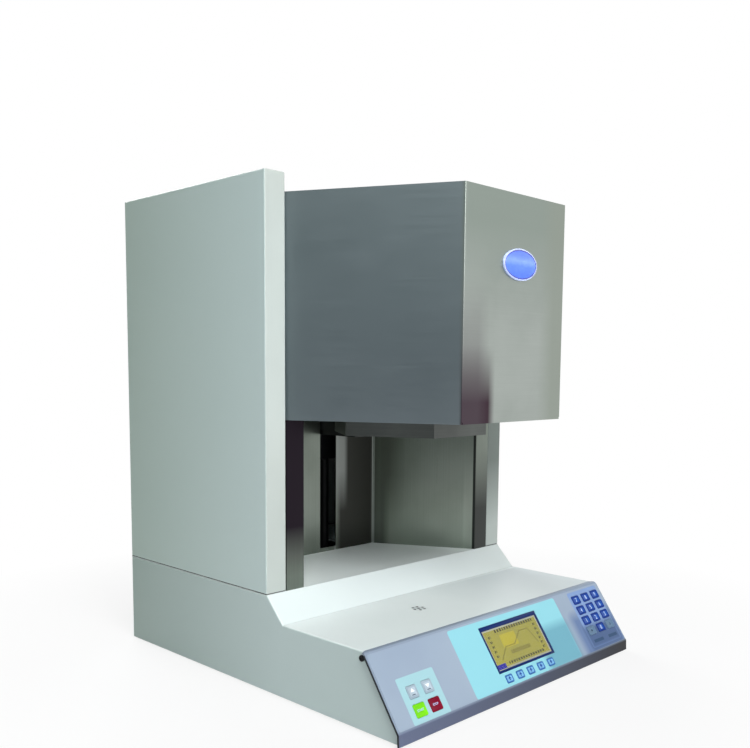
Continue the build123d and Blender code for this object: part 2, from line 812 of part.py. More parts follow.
def make_lift_carriage():
    half = carriage_width / 2
    y_span = (carriage_front_y, carriage_front_y + carriage_depth)
    block_z = (carriage_bottom_z, carriage_top_z)
    carriage = block((-half, half), y_span, block_z)
    carriage = chamfer(carriage.edges().filter_by(Axis.Z), carriage_chamfer)
    through = (carriage_bottom_z - cut_past, carriage_top_z + cut_past)
    for side in (-1, 1):
        carriage -= upright(rod_radius + running_gap + bush_wall + press_gap, through,
                            side * rod_spacing / 2, screw_y)
    carriage -= upright(screw_radius + running_gap + nut_wall + press_gap, through, 0, screw_y)
    return carriage


def make_carriage_bushes():
    bushes = []
    for side in (-1, 1):
        x = side * rod_spacing / 2
        bush = upright(rod_radius + running_gap + bush_wall,
                       (carriage_bottom_z, carriage_top_z), x, screw_y)
        bush -= upright(rod_radius + running_gap, (carriage_bottom_z - cut_past, carriage_top_z + cut_past),
                        x, screw_y)
        bushes.append(bush)
    return Compound(children=bushes)


def make_lead_nut():
    body_radius = screw_radius + running_gap + nut_wall
    flange_z = (carriage_bottom_z - nut_flange_height, carriage_bottom_z)
    nut = upright(body_radius, (flange_z[0], carriage_top_z), 0, screw_y)
    nut += upright(nut_flange_radius, flange_z, 0, screw_y)
    return nut - upright(screw_radius + running_gap, (flange_z[0] - 1, carriage_top_z + 1),
                         0, screw_y)


def make_lift_frame():
    half = frame_half_width
    y_span = (frame_back_y, frame_back_y + shelf_thickness)
    frame = block((-half, half), y_span, (bottom_top_z, upper_shelf_z + shelf_thickness))
    shelf_front_y = screw_y - motor_size / 2
    for z in (lower_shelf_z, upper_shelf_z):
        frame += block((-half, half), (shelf_front_y, frame_back_y), (z, z + shelf_thickness))
    foot_y = (y_span[1], y_span[1] + frame_foot_depth)
    frame += block((-half, half), foot_y, (bottom_top_z, bottom_top_z + shelf_thickness))
    through = (bottom_top_z, upper_shelf_z + cut_well_past)
    for side in (-1, 1):
        frame -= upright(rod_radius + press_gap, through, side * rod_spacing / 2, screw_y)
    return frame - upright(screw_radius + running_gap, through, 0, screw_y)


def make_guide_rods():
    z_span = (lower_shelf_z, upper_shelf_z + shelf_thickness)
    rods = [upright(rod_radius, z_span, side * rod_spacing / 2, screw_y) for side in (-1, 1)]
    return Compound(children=rods)


def make_lead_screw():
    top = upper_shelf_z + shelf_thickness + screw_end_proud
    screw = upright(screw_radius, (lower_shelf_z + fit_gap, top), 0, screw_y)
    screw = chamfer(screw.edges().sort_by(Axis.Z)[-1], screw_end_chamfer)
    shaft_bottom = lower_shelf_z - motor_shaft_length
    shaft_z = (shaft_bottom, lower_shelf_z + motor_shaft_overlap)
    return screw + upright(motor_shaft_radius, shaft_z, 0, screw_y)


def make_lift_motor():
    z_span = (lower_shelf_z - motor_height, lower_shelf_z)
    half = motor_size / 2
    motor = block((-half, half), (screw_y - half, screw_y + half), z_span)
    motor = chamfer(motor.edges().filter_by(Axis.Z), motor_chamfer)
    bore_z = (lower_shelf_z - motor_shaft_length - cut_past, lower_shelf_z + cut_past)
    return motor - upright(motor_shaft_radius + running_gap, bore_z, 0, screw_y)


# ---- control panel ----

lcd_center_x = lcd_left_x + lcd_width / 2
lcd_center_row = lcd_top + lcd_height / 2


def key_table():
    """Every key by name: centre along X, distance down the slope, width and height."""
    table = {}
    for index, name in enumerate(("key_up", "key_down")):
        table[name] = (left_group_x + index * left_group_pitch, arrow_row) + arrow_key_size
    for index, name in enumerate(("key_start", "key_stop")):
        table[name] = (left_group_x + index * left_group_pitch, start_row) + start_key_size
    for index in range(5):
        table["soft_key_%d" % (index + 1)] = (
            soft_first_x + index * soft_pitch, soft_row) + soft_key_size
    pad_names = ["7", "8", "9", "4", "5", "6", "1", "2", "3", "point", "0", "sign"]
    for index, name in enumerate(pad_names):
        x = pad_first_x + (index % 3) * pad_pitch_x
        row = pad_first_row + (index // 3) * pad_pitch_row
        table["pad_key_" + name] = (x, row) + pad_key_size
    return table


def make_panel_tray():
    path = [(deck_edge_y + tray_top_return, deck_z)] + base_path[3:]
    inner = parallel_path(path, tray_metal)
    tray = side_prism(path + inner[::-1], (-plate_half_width, plate_half_width))
    bend = tray.edges().filter_by(Axis.X).filter_by(
        lambda edge: abs(edge.center().Y - deck_edge_y) < same_place and edge.center().Z > deck_z - same_place)
    tray = fillet(bend, tray_bend_radius)
    top_row = -tray_top_return * cos(panel_angle)
    height = 2 * panel_length
    tray &= panel_box(0, top_row + height / 2, 2 * plate_half_width, height, -panel_length, cut_well_past,
                      plate_corner)
    back = parallel_path(path, tray_flange_depth)
    flange = path[1:] + back[::-1][:3] + [(deck_edge_y + tray_top_return, deck_z - tray_flange_depth),
                                          (deck_edge_y + tray_top_return, deck_z)]
    for side in (-1, 1):
        edge = sorted((side * tray_half_width, side * (tray_half_width - tray_metal)))
        end_plate = side_prism(flange, edge)
        cut = side_prism(path + [(path[0][0], deck_z - 60)], (edge[0] - 1, edge[1] + 1))
        hem = block((edge[0] - 1, edge[1] + 1), (lip_y + tray_metal, column_front_y),
                    (-cut_well_past, bottom_top_z + fit_gap))
        tray += (end_plate & cut) - hem
    for side in (-1, 1):
        x_span = sorted((side * plate_half_width, side * (tray_half_width - tray_notch_reach)))
        tray -= along_x(screw_hole_radius, x_span, side_screw_y, side_screw_z)
    tray -= panel_box(lcd_center_x, lcd_center_row, lcd_width + 2 * key_gap,
                      lcd_height + 2 * key_gap, -tray_metal - panel_hole_past, panel_hole_past)
    for x, row, width, height in key_table().values():
        tray -= panel_box(x, row, width + 2 * key_gap, height + 2 * key_gap,
                          -tray_metal - panel_hole_past, panel_hole_past, key_corner + key_gap)
    for x, row in board_studs:
        tray += panel_peg(x, row, stud_radius, -board_depth, -tray_metal + stud_root)
    return tray


lower_stud_row = panel_length - lower_stud_inset
left_stud_x = -tray_half_width + stud_inset
stud_places = (left_stud_x, -stud_inner_x, stud_inner_x, pad_first_x - stud_beside_pad)
board_studs = [(x, row) for row in (upper_stud_row, lower_stud_row) for x in stud_places]


def make_panel_overlay():
    height = panel_length - 2 * overlay_margin
    film = panel_box(0, panel_length / 2, 2 * overlay_half_width, height, 0, overlay_thickness,
                     overlay_corner)
    film -= panel_box(lcd_center_x, lcd_center_row, lcd_width + 2 * key_gap,
                      lcd_height + 2 * key_gap, -cut_past, overlay_thickness + cut_past)
    for x, row, width, key_height in key_table().values():
        film -= panel_box(x, row, width + 2 * key_gap, key_height + 2 * key_gap,
                          -cut_past, overlay_thickness + cut_past,
                          key_corner + key_gap)
    return film


def make_key(x, row, width, height):
    top = overlay_thickness + key_proud
    key = panel_box(x, row, width, height, top - key_depth, top, key_corner)
    rim = key.faces().sort_by(Axis((0, 0, 0), tuple(panel_plane.z_dir)))[-1].edges()
    return fillet(rim, key_rim_radius)


def make_lcd_module():
    body = panel_box(lcd_center_x, lcd_center_row, lcd_width, lcd_height,
                     overlay_thickness - lcd_depth, overlay_thickness)
    view_width = lcd_width - 2 * lcd_frame_side
    view_height = lcd_height - lcd_frame_side - lcd_frame_top
    view_row = lcd_top + lcd_frame_top + view_height / 2
    body -= panel_box(lcd_center_x, view_row, view_width, view_height,
                      overlay_thickness - lcd_glass_depth, overlay_thickness + cut_past)
    return body


def make_lcd_window():
    view_width = lcd_width - 2 * lcd_frame_side - 2 * press_gap
    view_height = lcd_height - lcd_frame_side - lcd_frame_top - 2 * press_gap
    view_row = lcd_top + lcd_frame_top + view_height / 2 + press_gap
    top = overlay_thickness - lcd_glass_depth + window_thickness
    return panel_box(lcd_center_x, view_row, view_width, view_height, top - window_thickness, top)


def make_controller_board():
    half = tray_half_width - board_margin
    row = panel_length / 2
    height = panel_length - board_margin - board_end_gap
    top = -board_depth
    board = panel_box(0, row, 2 * half, height, top - board_thickness, top)
    switch_top = overlay_thickness + key_proud - key_depth - key_travel - key_gap / 2
    for x, key_row, width, key_height in key_table().values():
        board += panel_box(x, key_row, switch_size, switch_size, top - board_overlap, switch_top)
    return board


def make_buzzer():
    top = deck_z - base_sheet
    buzzer = upright(buzzer_radius, (top - buzzer_height, top), buzzer_x, buzzer_y)
    port_z = (top - buzzer_port_depth, top + cut_past)
    return buzzer - upright(buzzer_port_radius, port_z, buzzer_x, buzzer_y)


# ---- fan ----

guard_ear_offset = fan_size / 2 - fan_hole_inset
guard_screw_spots = [(sx * guard_ear_offset, fan_center_z + sz * guard_ear_offset)
                     for sx in (-1, 1) for sz in (-1, 1)]
fan_front_y = fan_back_y - fan_depth


def make_fan_frame():
    half = fan_size / 2
    frame = block((-half, half), (fan_front_y, fan_back_y),
                  (fan_center_z - half, fan_center_z + half))
    frame = fillet(frame.edges().filter_by(Axis.Y), fan_corner_radius)
    frame -= along_y(fan_bore_radius, (fan_front_y - cut_past, fan_back_y + cut_past), 0, fan_center_z)
    spider_y = (fan_back_y - fan_strut_depth, fan_back_y)
    frame += along_y(fan_hub_radius, spider_y, 0, fan_center_z)
    reach = fan_bore_radius + fan_strut_root
    for turn in (45, 135, 225, 315):
        strut = Pos(reach / 2, 0, 0) * Box(reach, fan_strut_depth, fan_strut_width)
        middle_y = fan_back_y - fan_strut_depth / 2
        frame += Pos(0, middle_y, fan_center_z) * Rot(0, turn, 0) * strut
    bearing = (fan_back_y - fan_bearing_depth, fan_back_y)
    frame += along_y(fan_shaft_radius + fan_bearing_wall, bearing, 0, fan_center_z)
    frame -= along_y(fan_shaft_radius + running_gap, (bearing[0] - cut_past, bearing[1] - fan_bearing_floor),
                     0, fan_center_z)
    for x, z in guard_screw_spots:
        frame -= along_y(screw_hole_radius, (fan_back_y - fan_screw_depth, fan_back_y + cut_past), x, z)
    return frame


def make_fan_rotor():
    hub_y = (fan_front_y + fan_rotor_front_inset, fan_back_y - fan_strut_depth - fan_rotor_back_gap)
    rotor = along_y(fan_hub_radius, hub_y, 0, fan_center_z)
    rotor -= along_y(fan_shaft_radius + fan_hub_bore_gap, (hub_y[0] + fan_hub_floor, hub_y[1] + cut_past),
                     0, fan_center_z)
    rotor += along_y(fan_shaft_radius, (hub_y[0] + fan_rotor_front_inset, fan_back_y - fan_shaft_end_gap),
                     0, fan_center_z)
    blade_length = fan_tip_radius - fan_hub_radius + fan_blade_root
    blade_depth = hub_y[1] - hub_y[0] - fan_blade_inset
    middle_y = (hub_y[0] + hub_y[1]) / 2
    for index in range(fan_blade_count):
        blade = Rot(fan_blade_pitch, 0, 0) * Box(blade_length, fan_blade_thickness, blade_depth)
        blade = Pos(fan_hub_radius - fan_blade_root + blade_length / 2, 0, 0) * blade
        turn = Rot(0, 360 * index / fan_blade_count, 0)
        rotor += Pos(0, middle_y, fan_center_z) * turn * blade
    swept = along_y(fan_tip_radius, (hub_y[0], hub_y[1]), 0, fan_center_z)
    spindle = along_y(fan_shaft_radius + fit_gap, (hub_y[0], fan_back_y), 0, fan_center_z)
    return rotor & (swept + spindle)


def make_fan_guard():
    wire_y = column_back_y + guard_proud - guard_wire_radius
    disc_y = (wire_y - guard_wire_radius, wire_y + guard_wire_radius)
    guard = along_y(guard_disc_radius, disc_y, 0, fan_center_z)
    for index in range(guard_ring_count):
        share = (index + 1) / guard_ring_count
        radius = guard_disc_radius + share * (fan_bore_radius - guard_disc_radius)
        ring = Torus(radius, guard_wire_radius)
        guard += Pos(0, wire_y, fan_center_z) * Rot(90, 0, 0) * ring
    for x, z in guard_screw_spots:
        ear = along_y(guard_ear_radius, (column_back_y, column_back_y + guard_ear_sheet), x, z)
        ear_through = (column_back_y - cut_past, column_back_y + guard_ear_sheet + cut_past)
        ear -= along_y(screw_hole_radius, ear_through, x, z)
        length = hypot(x, z - fan_center_z)
        turn = degrees(atan2(z - fan_center_z, x))
        reach = length - screw_hole_radius - guard_bar_end_gap
        bar = along_x(guard_wire_radius, (0, reach), 0, 0)
        leg_x = reach - guard_wire_radius
        leg_y = wire_y - column_back_y
        leg = Pos(leg_x, -leg_y / 2, 0) * Box(2 * guard_wire_radius, leg_y, 2 * guard_wire_radius)
        guard += Pos(0, wire_y, fan_center_z) * Rot(0, -turn, 0) * (bar + leg)
        guard += ear
    return guard


# ---- mains inlet with its rocker ----

rocker_center_z = inlet_center_z + rocker_rise
rocker_pivot_y = column_back_y - rocker_pivot_inset


def make_mains_inlet():
    half_x = inlet_width / 2
    half_z = inlet_height / 2
    flange_y = (column_back_y, column_back_y + inlet_flange)
    inlet = block((inlet_x - half_x, inlet_x + half_x), flange_y,
                  (inlet_center_z - half_z, inlet_center_z + half_z))
    inlet = fillet(inlet.edges().filter_by(Axis.Y), inlet_corner_radius)
    body_x = half_x - inlet_flange
    body_z = half_z - inlet_flange
    inlet += block((inlet_x - body_x, inlet_x + body_x), (column_back_y - inlet_depth, flange_y[0]),
                   (inlet_center_z - body_z, inlet_center_z + body_z))
    socket_z = inlet_center_z - socket_drop
    socket_y = (flange_y[1] - socket_depth, flange_y[1] + cut_past)
    socket = block((inlet_x - socket_width / 2, inlet_x + socket_width / 2), socket_y,
                   (socket_z - socket_height / 2, socket_z + socket_height / 2))
    upper = socket.edges().filter_by(Axis.Y).group_by(Axis.Z)[-1]
    inlet -= chamfer(upper, socket_corner_cut)
    for x, z in socket_pin_places:
        inlet += block((inlet_x + x - socket_pin_width / 2, inlet_x + x + socket_pin_width / 2),
                       (socket_y[0] - cut_past, flange_y[1] - socket_pin_inset),
                       (socket_z + z - socket_pin_height / 2, socket_z + z + socket_pin_height / 2))
    well_x = rocker_width / 2 + rocker_gap
    well_z = rocker_height / 2 + rocker_end_gap
    inlet -= block((inlet_x - well_x, inlet_x + well_x),
                   (column_back_y - rocker_well_depth, flange_y[1] + cut_past),
                   (rocker_center_z - well_z, rocker_center_z + well_z))
    pin_x = well_x + rocker_pin_hole_reach
    inlet -= along_x(rocker_pin_radius + running_gap,
                     (inlet_x - pin_x, inlet_x + pin_x), rocker_pivot_y, rocker_center_z)
    return inlet


def make_power_rocker():
    half = rocker_height / 2
    rise = half * tan(radians(rocker_tilt))
    shoulder = half - rocker_shoulder_inset
    outline = [(rocker_face_y + rise, -half), (rocker_face_y, 0), (rocker_face_y + rise, half),
               (rocker_shoulder_y, shoulder), (rocker_back_y, rocker_back_half),
               (rocker_back_y, -rocker_back_half), (rocker_shoulder_y, -shoulder)]
    rocker = side_prism(outline, (-rocker_width / 2, rocker_width / 2))
    pin_half = rocker_width / 2 + rocker_gap + rocker_pin_reach
    rocker += along_x(rocker_pin_radius, (-pin_half, pin_half))
    return Pos(inlet_x, rocker_pivot_y, rocker_center_z) * Rot(rocker_tilt, 0, 0) * rocker


# ---- write every piece ----

pieces = {
    "base_shell": make_base_shell(),
    "bottom_plate": make_bottom_plate(),
    "rubber_feet": make_rubber_feet(),
    "left_side_column": make_column(-1),
    "right_side_column": make_column(1),
    "rear_cover": make_rear_cover(),
    "top_cover": make_top_cover(),
    "recess_liner": make_recess_liner(),
    "chamber_casing": make_chamber_casing(),
    "chamber_lid": make_chamber_lid(),
    "chamber_floor": make_chamber_floor(),
    "muffle_wall": make_muffle_wall(),
    "muffle_roof": make_muffle_roof(),
    "heating_elements": make_heating_elements(),
    "thermocouple": make_thermocouple(),
    "front_badge": make_front_badge(),
    "hearth_tray": make_hearth_tray(),
    "hearth_block": make_hearth_block(),
    "hearth_seal": make_hearth_seal(),
    "lift_arm": make_lift_arm(),
    "lift_carriage": make_lift_carriage(),
    "carriage_bushes": make_carriage_bushes(),
    "lead_nut": make_lead_nut(),
    "lift_frame": make_lift_frame(),
    "guide_rods": make_guide_rods(),
    "lead_screw": make_lead_screw(),
    "lift_motor": make_lift_motor(),
    "panel_tray": make_panel_tray(),
    "panel_overlay": make_panel_overlay(),
    "lcd_module": make_lcd_module(),
    "lcd_window": make_lcd_window(),
    "controller_board": make_controller_board(),
    "buzzer": make_buzzer(),
    "fan_frame": make_fan_frame(),
    "fan_rotor": make_fan_rotor(),
    "fan_guard": make_fan_guard(),
    "mains_inlet": make_mains_inlet(),
    "power_rocker": make_power_rocker(),
    "case_screws": make_case_screws(),
}
for key_name, (key_x, key_row, key_width, key_height) in key_table().items():
    pieces[key_name] = make_key(key_x, key_row, key_width, key_height)

os.makedirs("parts", exist_ok=True)
for piece_name, piece in pieces.items():
    export_step(piece, "parts/" + piece_name + ".step")
print(len(pieces), "pieces written")
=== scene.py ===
import math

import bmesh
import bpy
from mathutils import Matrix, Vector


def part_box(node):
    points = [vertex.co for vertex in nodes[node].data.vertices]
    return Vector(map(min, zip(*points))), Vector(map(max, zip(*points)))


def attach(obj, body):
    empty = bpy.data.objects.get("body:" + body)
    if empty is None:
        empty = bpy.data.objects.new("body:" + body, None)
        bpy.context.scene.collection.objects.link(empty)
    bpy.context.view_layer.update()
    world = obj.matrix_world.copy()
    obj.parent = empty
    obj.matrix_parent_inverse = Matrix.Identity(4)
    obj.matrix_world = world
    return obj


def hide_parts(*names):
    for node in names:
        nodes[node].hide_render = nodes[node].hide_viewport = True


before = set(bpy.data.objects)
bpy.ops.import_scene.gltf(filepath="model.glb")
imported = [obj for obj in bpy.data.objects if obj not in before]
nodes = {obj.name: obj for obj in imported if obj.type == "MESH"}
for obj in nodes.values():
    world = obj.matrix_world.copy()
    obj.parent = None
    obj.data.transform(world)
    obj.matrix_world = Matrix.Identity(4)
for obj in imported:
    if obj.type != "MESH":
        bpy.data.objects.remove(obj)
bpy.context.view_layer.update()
print("frame loaded with", len(nodes), "nodes")


# camera, floor and studio

viewpoint = {
    "place": (-0.8613, -0.8501, 0.3841),
    "turnedRight": 45.41,  # degrees away from straight back
    "tippedDown": 5.88,
    "rolled": 0.42,
    "focalLength": 42.42,
    "sensor": 36.0,
    "frameMovedUp": 0.115,  # share of the picture's width
    "nearest": 0.02,
    "farthest": 60.0,
}


def setUpCamera(sizes):
    turn = math.radians(sizes["turnedRight"])
    tip = math.radians(sizes["tippedDown"])
    roll = math.radians(sizes["rolled"])
    ahead = Vector((math.sin(turn) * math.cos(tip), math.cos(turn) * math.cos(tip), -math.sin(tip)))
    right = Vector((math.cos(turn), -math.sin(turn), 0.0))
    up = right.cross(ahead)
    rolledRight = right * math.cos(roll) + up * math.sin(roll)
    rolledUp = up * math.cos(roll) - right * math.sin(roll)
    axes = Matrix((rolledRight, rolledUp, -ahead)).transposed().to_4x4()
    lens = bpy.data.cameras.new("productCamera")
    lens.lens = sizes["focalLength"]
    lens.sensor_width = sizes["sensor"]
    lens.sensor_fit = "HORIZONTAL"
    lens.shift_y = sizes["frameMovedUp"]
    lens.clip_start = sizes["nearest"]
    lens.clip_end = sizes["farthest"]
    camera = bpy.data.objects.new("productCamera", lens)
    bpy.context.scene.collection.objects.link(camera)
    camera.matrix_world = Matrix.Translation(sizes["place"]) @ axes
    bpy.context.scene.camera = camera


studio = {
    "keyLamp": {"place": (-1.4, -2.0, 2.2), "aim": (0.0, -0.1, 0.3), "size": 1.3, "power": 56.0},
    "highLamp": {"place": (-0.38, -1.91, 2.56), "aim": (0.0, -0.1, 0.2), "size": 1.2, "power": 32.0},
    "backLamp": {"place": (0.7, 2.5, 1.5), "aim": (0.0, 0.2, 0.3), "size": 1.6, "power": 55.0},
    "lowLamp": {"place": (-0.7, -2.73, 1.47), "aim": (0.0, -0.1, 0.2), "size": 1.2, "power": 26.0},
}


def addLamp(name, facts):
    data = bpy.data.lights.new(name, "AREA")
    data.shape = "SQUARE"
    data.size = facts["size"]
    data.energy = facts["power"]
    lamp = bpy.data.objects.new(name, data)
    bpy.context.scene.collection.objects.link(lamp)
    lamp.location = facts["place"]
    look = Vector(facts["aim"]) - Vector(facts["place"])
    lamp.rotation_euler = look.to_track_quat("-Z", "Y").to_euler()


def linear(code):
    # a tone written as on screen becomes the linear one that Blender works with
    parts = [int(code[i:i + 2], 16) / 255 for i in (1, 3, 5)]
    tones = [p / 12.92 if p <= 0.04045 else ((p + 0.055) / 1.055) ** 2.4 for p in parts]
    return (*tones, 1.0)


# laying out shader nodes: a socket is linked, any other value is set

def feed(tree, made, sockets):
    for key, value in sockets.items():
        if isinstance(value, bpy.types.NodeSocket):
            tree.links.new(value, made.inputs[key])
        else:
            made.inputs[key].default_value = value


def node(tree, kind, sockets=None, **settings):
    made = tree.nodes.new(kind)
    for key, value in settings.items():
        setattr(made, key, value)
    feed(tree, made, sockets or {})
    return made


def calc(tree, operation, first, second, clamp=False):
    made = node(tree, "ShaderNodeMath", {0: first, 1: second}, operation=operation, use_clamp=clamp)
    return made.outputs[0]


def vectorCalc(tree, operation, first, second):
    return node(tree, "ShaderNodeVectorMath", {0: first, 1: second}, operation=operation).outputs[0]


def vectorLength(tree, vector):
    return node(tree, "ShaderNodeVectorMath", {0: vector}, operation="LENGTH").outputs["Value"]


def ranged(tree, value, low, high, newLow=0.0, newHigh=1.0, kind="LINEAR"):
    made = node(tree, "ShaderNodeMapRange", {"Value": value, "From Min": low, "From Max": high,
                                             "To Min": newLow, "To Max": newHigh}, interpolation_type=kind)
    return made.outputs["Result"]


def spread(tree, value, low, high):
    return ranged(tree, value, 0.0, 1.0, low, high)


def along(tree, vector, axis):
    return node(tree, "ShaderNodeSeparateXYZ", {0: vector}).outputs[axis]


def mixTones(tree, factor, first, second, **settings):
    made = node(tree, "ShaderNodeMix", {"Factor": factor, "A": first, "B": second}, data_type="RGBA",
                **settings)
    return made.outputs["Result"]


def noise(tree, place, scale, detail=2.0, roughness=0.5):
    made = node(tree, "ShaderNodeTexNoise", {"Vector": place, "Scale": scale, "Detail": detail,
                                             "Roughness": roughness})
    return made.outputs["Fac"]


def emptyTree(holder):
    holder.use_nodes = True
    holder.node_tree.nodes.clear()
    return holder.node_tree


def blendShaders(tree, factor, first, second):
    return node(tree, "ShaderNodeMixShader", {0: factor, 1: first.outputs[0], 2: second.outputs[0]})


def seenRays(tree):
    # 1 for what the camera, a glossy surface or glass sees, 0 for light
    rays = node(tree, "ShaderNodeLightPath").outputs
    first = calc(tree, "MAXIMUM", rays["Is Camera Ray"], rays["Is Glossy Ray"])
    return calc(tree, "MAXIMUM", first, rays["Is Transmission Ray"])


plainWhite = (1, 1, 1, 1)
airTones = {"left": (0.03, 0.035, 0.035, 1), "right": (0.04, 0.04, 0.04, 1), "reach": 0.8}


def setUpWorld(facts):
    world = bpy.data.worlds.new("studioAir")
    tree = emptyTree(world)
    direction = node(tree, "ShaderNodeTexCoord").outputs["Generated"]
    across = ranged(tree, along(tree, direction, "X"), -facts["reach"], facts["reach"])
    tones = mixTones(tree, across, facts["left"], facts["right"])
    fill = node(tree, "ShaderNodeBackground", {"Color": tones})
    white = node(tree, "ShaderNodeBackground", {"Color": plainWhite})
    blend = blendShaders(tree, seenRays(tree), fill, white)
    node(tree, "ShaderNodeOutputWorld", {"Surface": blend.outputs[0]})
    bpy.context.scene.world = world


floorSizes = {"halfWidth": 12.0, "shadowReach": (0.40, 0.80), "shadowShare": 0.22,
              "tone": (0.82, 0.82, 0.82, 1)}


def addFloor(sizes):
    clearSelection()
    bpy.ops.mesh.primitive_plane_add(size=2 * sizes["halfWidth"], location=(0, 0, 0))
    floor = bpy.context.object
    floor.name = "studioFloor"
    paint = bpy.data.materials.new("paleFloor")
    tree = emptyTree(paint)
    away = vectorLength(tree, node(tree, "ShaderNodeTexCoord").outputs["Object"])
    fade = ranged(tree, away, *sizes["shadowReach"], 1.0 - sizes["shadowShare"], 1.0)
    matt = node(tree, "ShaderNodeBsdfDiffuse", {"Color": sizes["tone"]})
    glow = node(tree, "ShaderNodeEmission", {"Color": plainWhite})
    blend = blendShaders(tree, calc(tree, "MULTIPLY", seenRays(tree), fade), matt, glow)
    node(tree, "ShaderNodeOutputMaterial", {"Surface": blend.outputs[0]})
    floor.data.materials.append(paint)


flags = {
    "leftFlag": {"low": (-2.3, -2.6, 0.0), "high": (-2.3, 2.2, 2.2), "lowTone": "#58626A",
                 "highTone": "#84908F", "toneReach": (0.1, 1.1)},
}


def addFlag(name, facts):
    # a grey board beside the set, which only shows in reflections
    low, high = Vector(facts["low"]), Vector(facts["high"])
    clearSelection()
    bpy.ops.mesh.primitive_plane_add(size=1, location=(0, 0, 0), rotation=(0, math.pi / 2, 0))
    board = bpy.context.object
    board.name = name
    bpy.ops.object.transform_apply(location=False, rotation=True, scale=False)
    board.scale = (1, high.y - low.y, high.z - low.z)
    board.location = (low + high) / 2
    paint = bpy.data.materials.new(name + "Paint")
    tree = emptyTree(paint)
    place = node(tree, "ShaderNodeNewGeometry").outputs["Position"]
    height = ranged(tree, along(tree, place, "Z"), *facts["toneReach"])
    tones = mixTones(tree, height, linear(facts["lowTone"]), linear(facts["highTone"]))
    glow = node(tree, "ShaderNodeEmission", {"Color": tones})
    node(tree, "ShaderNodeOutputMaterial", {"Surface": glow.outputs[0]})
    board.data.materials.append(paint)
    board.visible_camera = False


# making pieces by hand: choose faces or edges in code, then work on them

facingUp = 0.99  # a normal's least z that counts as up
nearly = 1e-5  # metres that count as the same place
midReach = 0.002  # metres from the middle in which a face is the middle one


def clearSelection():
    if bpy.context.object is not None and bpy.context.object.mode != "OBJECT":
        bpy.ops.object.mode_set(mode="OBJECT")
    bpy.ops.object.select_all(action="DESELECT")


def workOn(piece):
    clearSelection()
    piece.select_set(True)
    bpy.context.view_layer.objects.active = piece


def startEdit(piece, mode="FACE"):
    workOn(piece)
    bpy.ops.object.mode_set(mode="EDIT")
    bpy.ops.mesh.select_mode(type=mode)
    bpy.ops.mesh.select_all(action="DESELECT")


def endEdit(smoothAngle=0):
    bpy.ops.object.mode_set(mode="OBJECT")
    if smoothAngle:
        bpy.ops.object.shade_smooth_by_angle(angle=math.radians(smoothAngle))


def chooseFaces(piece, test):
    bpy.ops.mesh.select_mode(type="FACE")
    bpy.ops.mesh.select_all(action="DESELECT")
    mesh = bmesh.from_edit_mesh(piece.data)
    for face in mesh.faces:
        if test(face.calc_center_median(), face.normal):
            face.select_set(True)
    bmesh.update_edit_mesh(piece.data)


def chooseEdges(piece, test):
    bpy.ops.mesh.select_mode(type="EDGE")
    bpy.ops.mesh.select_all(action="DESELECT")
    mesh = bmesh.from_edit_mesh(piece.data)
    for edge in mesh.edges:
        if test((edge.verts[0].co + edge.verts[1].co) / 2, edge.verts[1].co - edge.verts[0].co):
            edge.select_set(True)
    bmesh.update_edit_mesh(piece.data)


def chooseTop(piece):
    chooseFaces(piece, lambda centre, normal: normal.z > facingUp and centre.xy.length < midReach)


def closeOutwards():
    bpy.ops.mesh.select_all(action="SELECT")
    bpy.ops.mesh.normals_make_consistent(inside=False)


def stepInwards(shareX, shareY, rise=0.0):
    # the chosen face gets a smaller face inside it, or above or below it
    bpy.ops.mesh.extrude_region_move(TRANSFORM_OT_translate={"value": (0, 0, rise)})
    bpy.ops.transform.resize(value=(shareX, shareY, 1), center_override=(0, 0, 0))


def paintChosen(piece, slotIndex):
    piece.active_material_index = slotIndex
    bpy.ops.object.material_slot_assign()


def addBlock(name, size, centre):
    clearSelection()
    bpy.ops.mesh.primitive_cube_add(size=1, location=centre)
    block = bpy.context.object
    block.name = name
    block.scale = size
    bpy.ops.object.transform_apply(location=True, rotation=False, scale=True)
    return block


def addDrum(name, radius, height, sides, centre=(0, 0, 0)):
    clearSelection()
    bpy.ops.mesh.primitive_cylinder_add(vertices=sides, radius=radius, depth=height, location=centre)
    drum = bpy.context.object
    drum.name = name
    bpy.ops.object.transform_apply(location=True, rotation=False, scale=False)
    return drum


def addModifier(piece, kind, **settings):
    workOn(piece)
    change = piece.modifiers.new(kind.lower(), kind)
    for key, value in settings.items():
        setattr(change, key, value)
    bpy.ops.object.modifier_apply(modifier=change.name)


def settle(piece, turn=(0, 0, 0), move=(0, 0, 0)):
    workOn(piece)
    piece.rotation_euler = turn
    piece.location = move
    bpy.ops.object.transform_apply(location=True, rotation=True, scale=True)


def shiftMesh(piece, across, up, out):
    piece.data.transform(Matrix.Translation((across, up, out)))


def softenEdges(piece, width, angle=35):
    addModifier(piece, "BEVEL", width=width, segments=2, limit_method="ANGLE",
                angle_limit=math.radians(angle))
    workOn(piece)
    bpy.ops.object.shade_smooth_by_angle(angle=math.radians(angle))


def mergeInto(piece, others):
    workOn(piece)
    for other in others:
        other.select_set(True)
    bpy.ops.object.join()


def copyOf(piece, name):
    twin = piece.copy()
    twin.data = piece.data.copy()
    twin.name = name
    bpy.context.scene.collection.objects.link(twin)
    return twin


def wear(piece, *finishes):
    piece.data.materials.clear()
    for finish in finishes:
        piece.data.materials.append(finish)


# effects that several finishes share

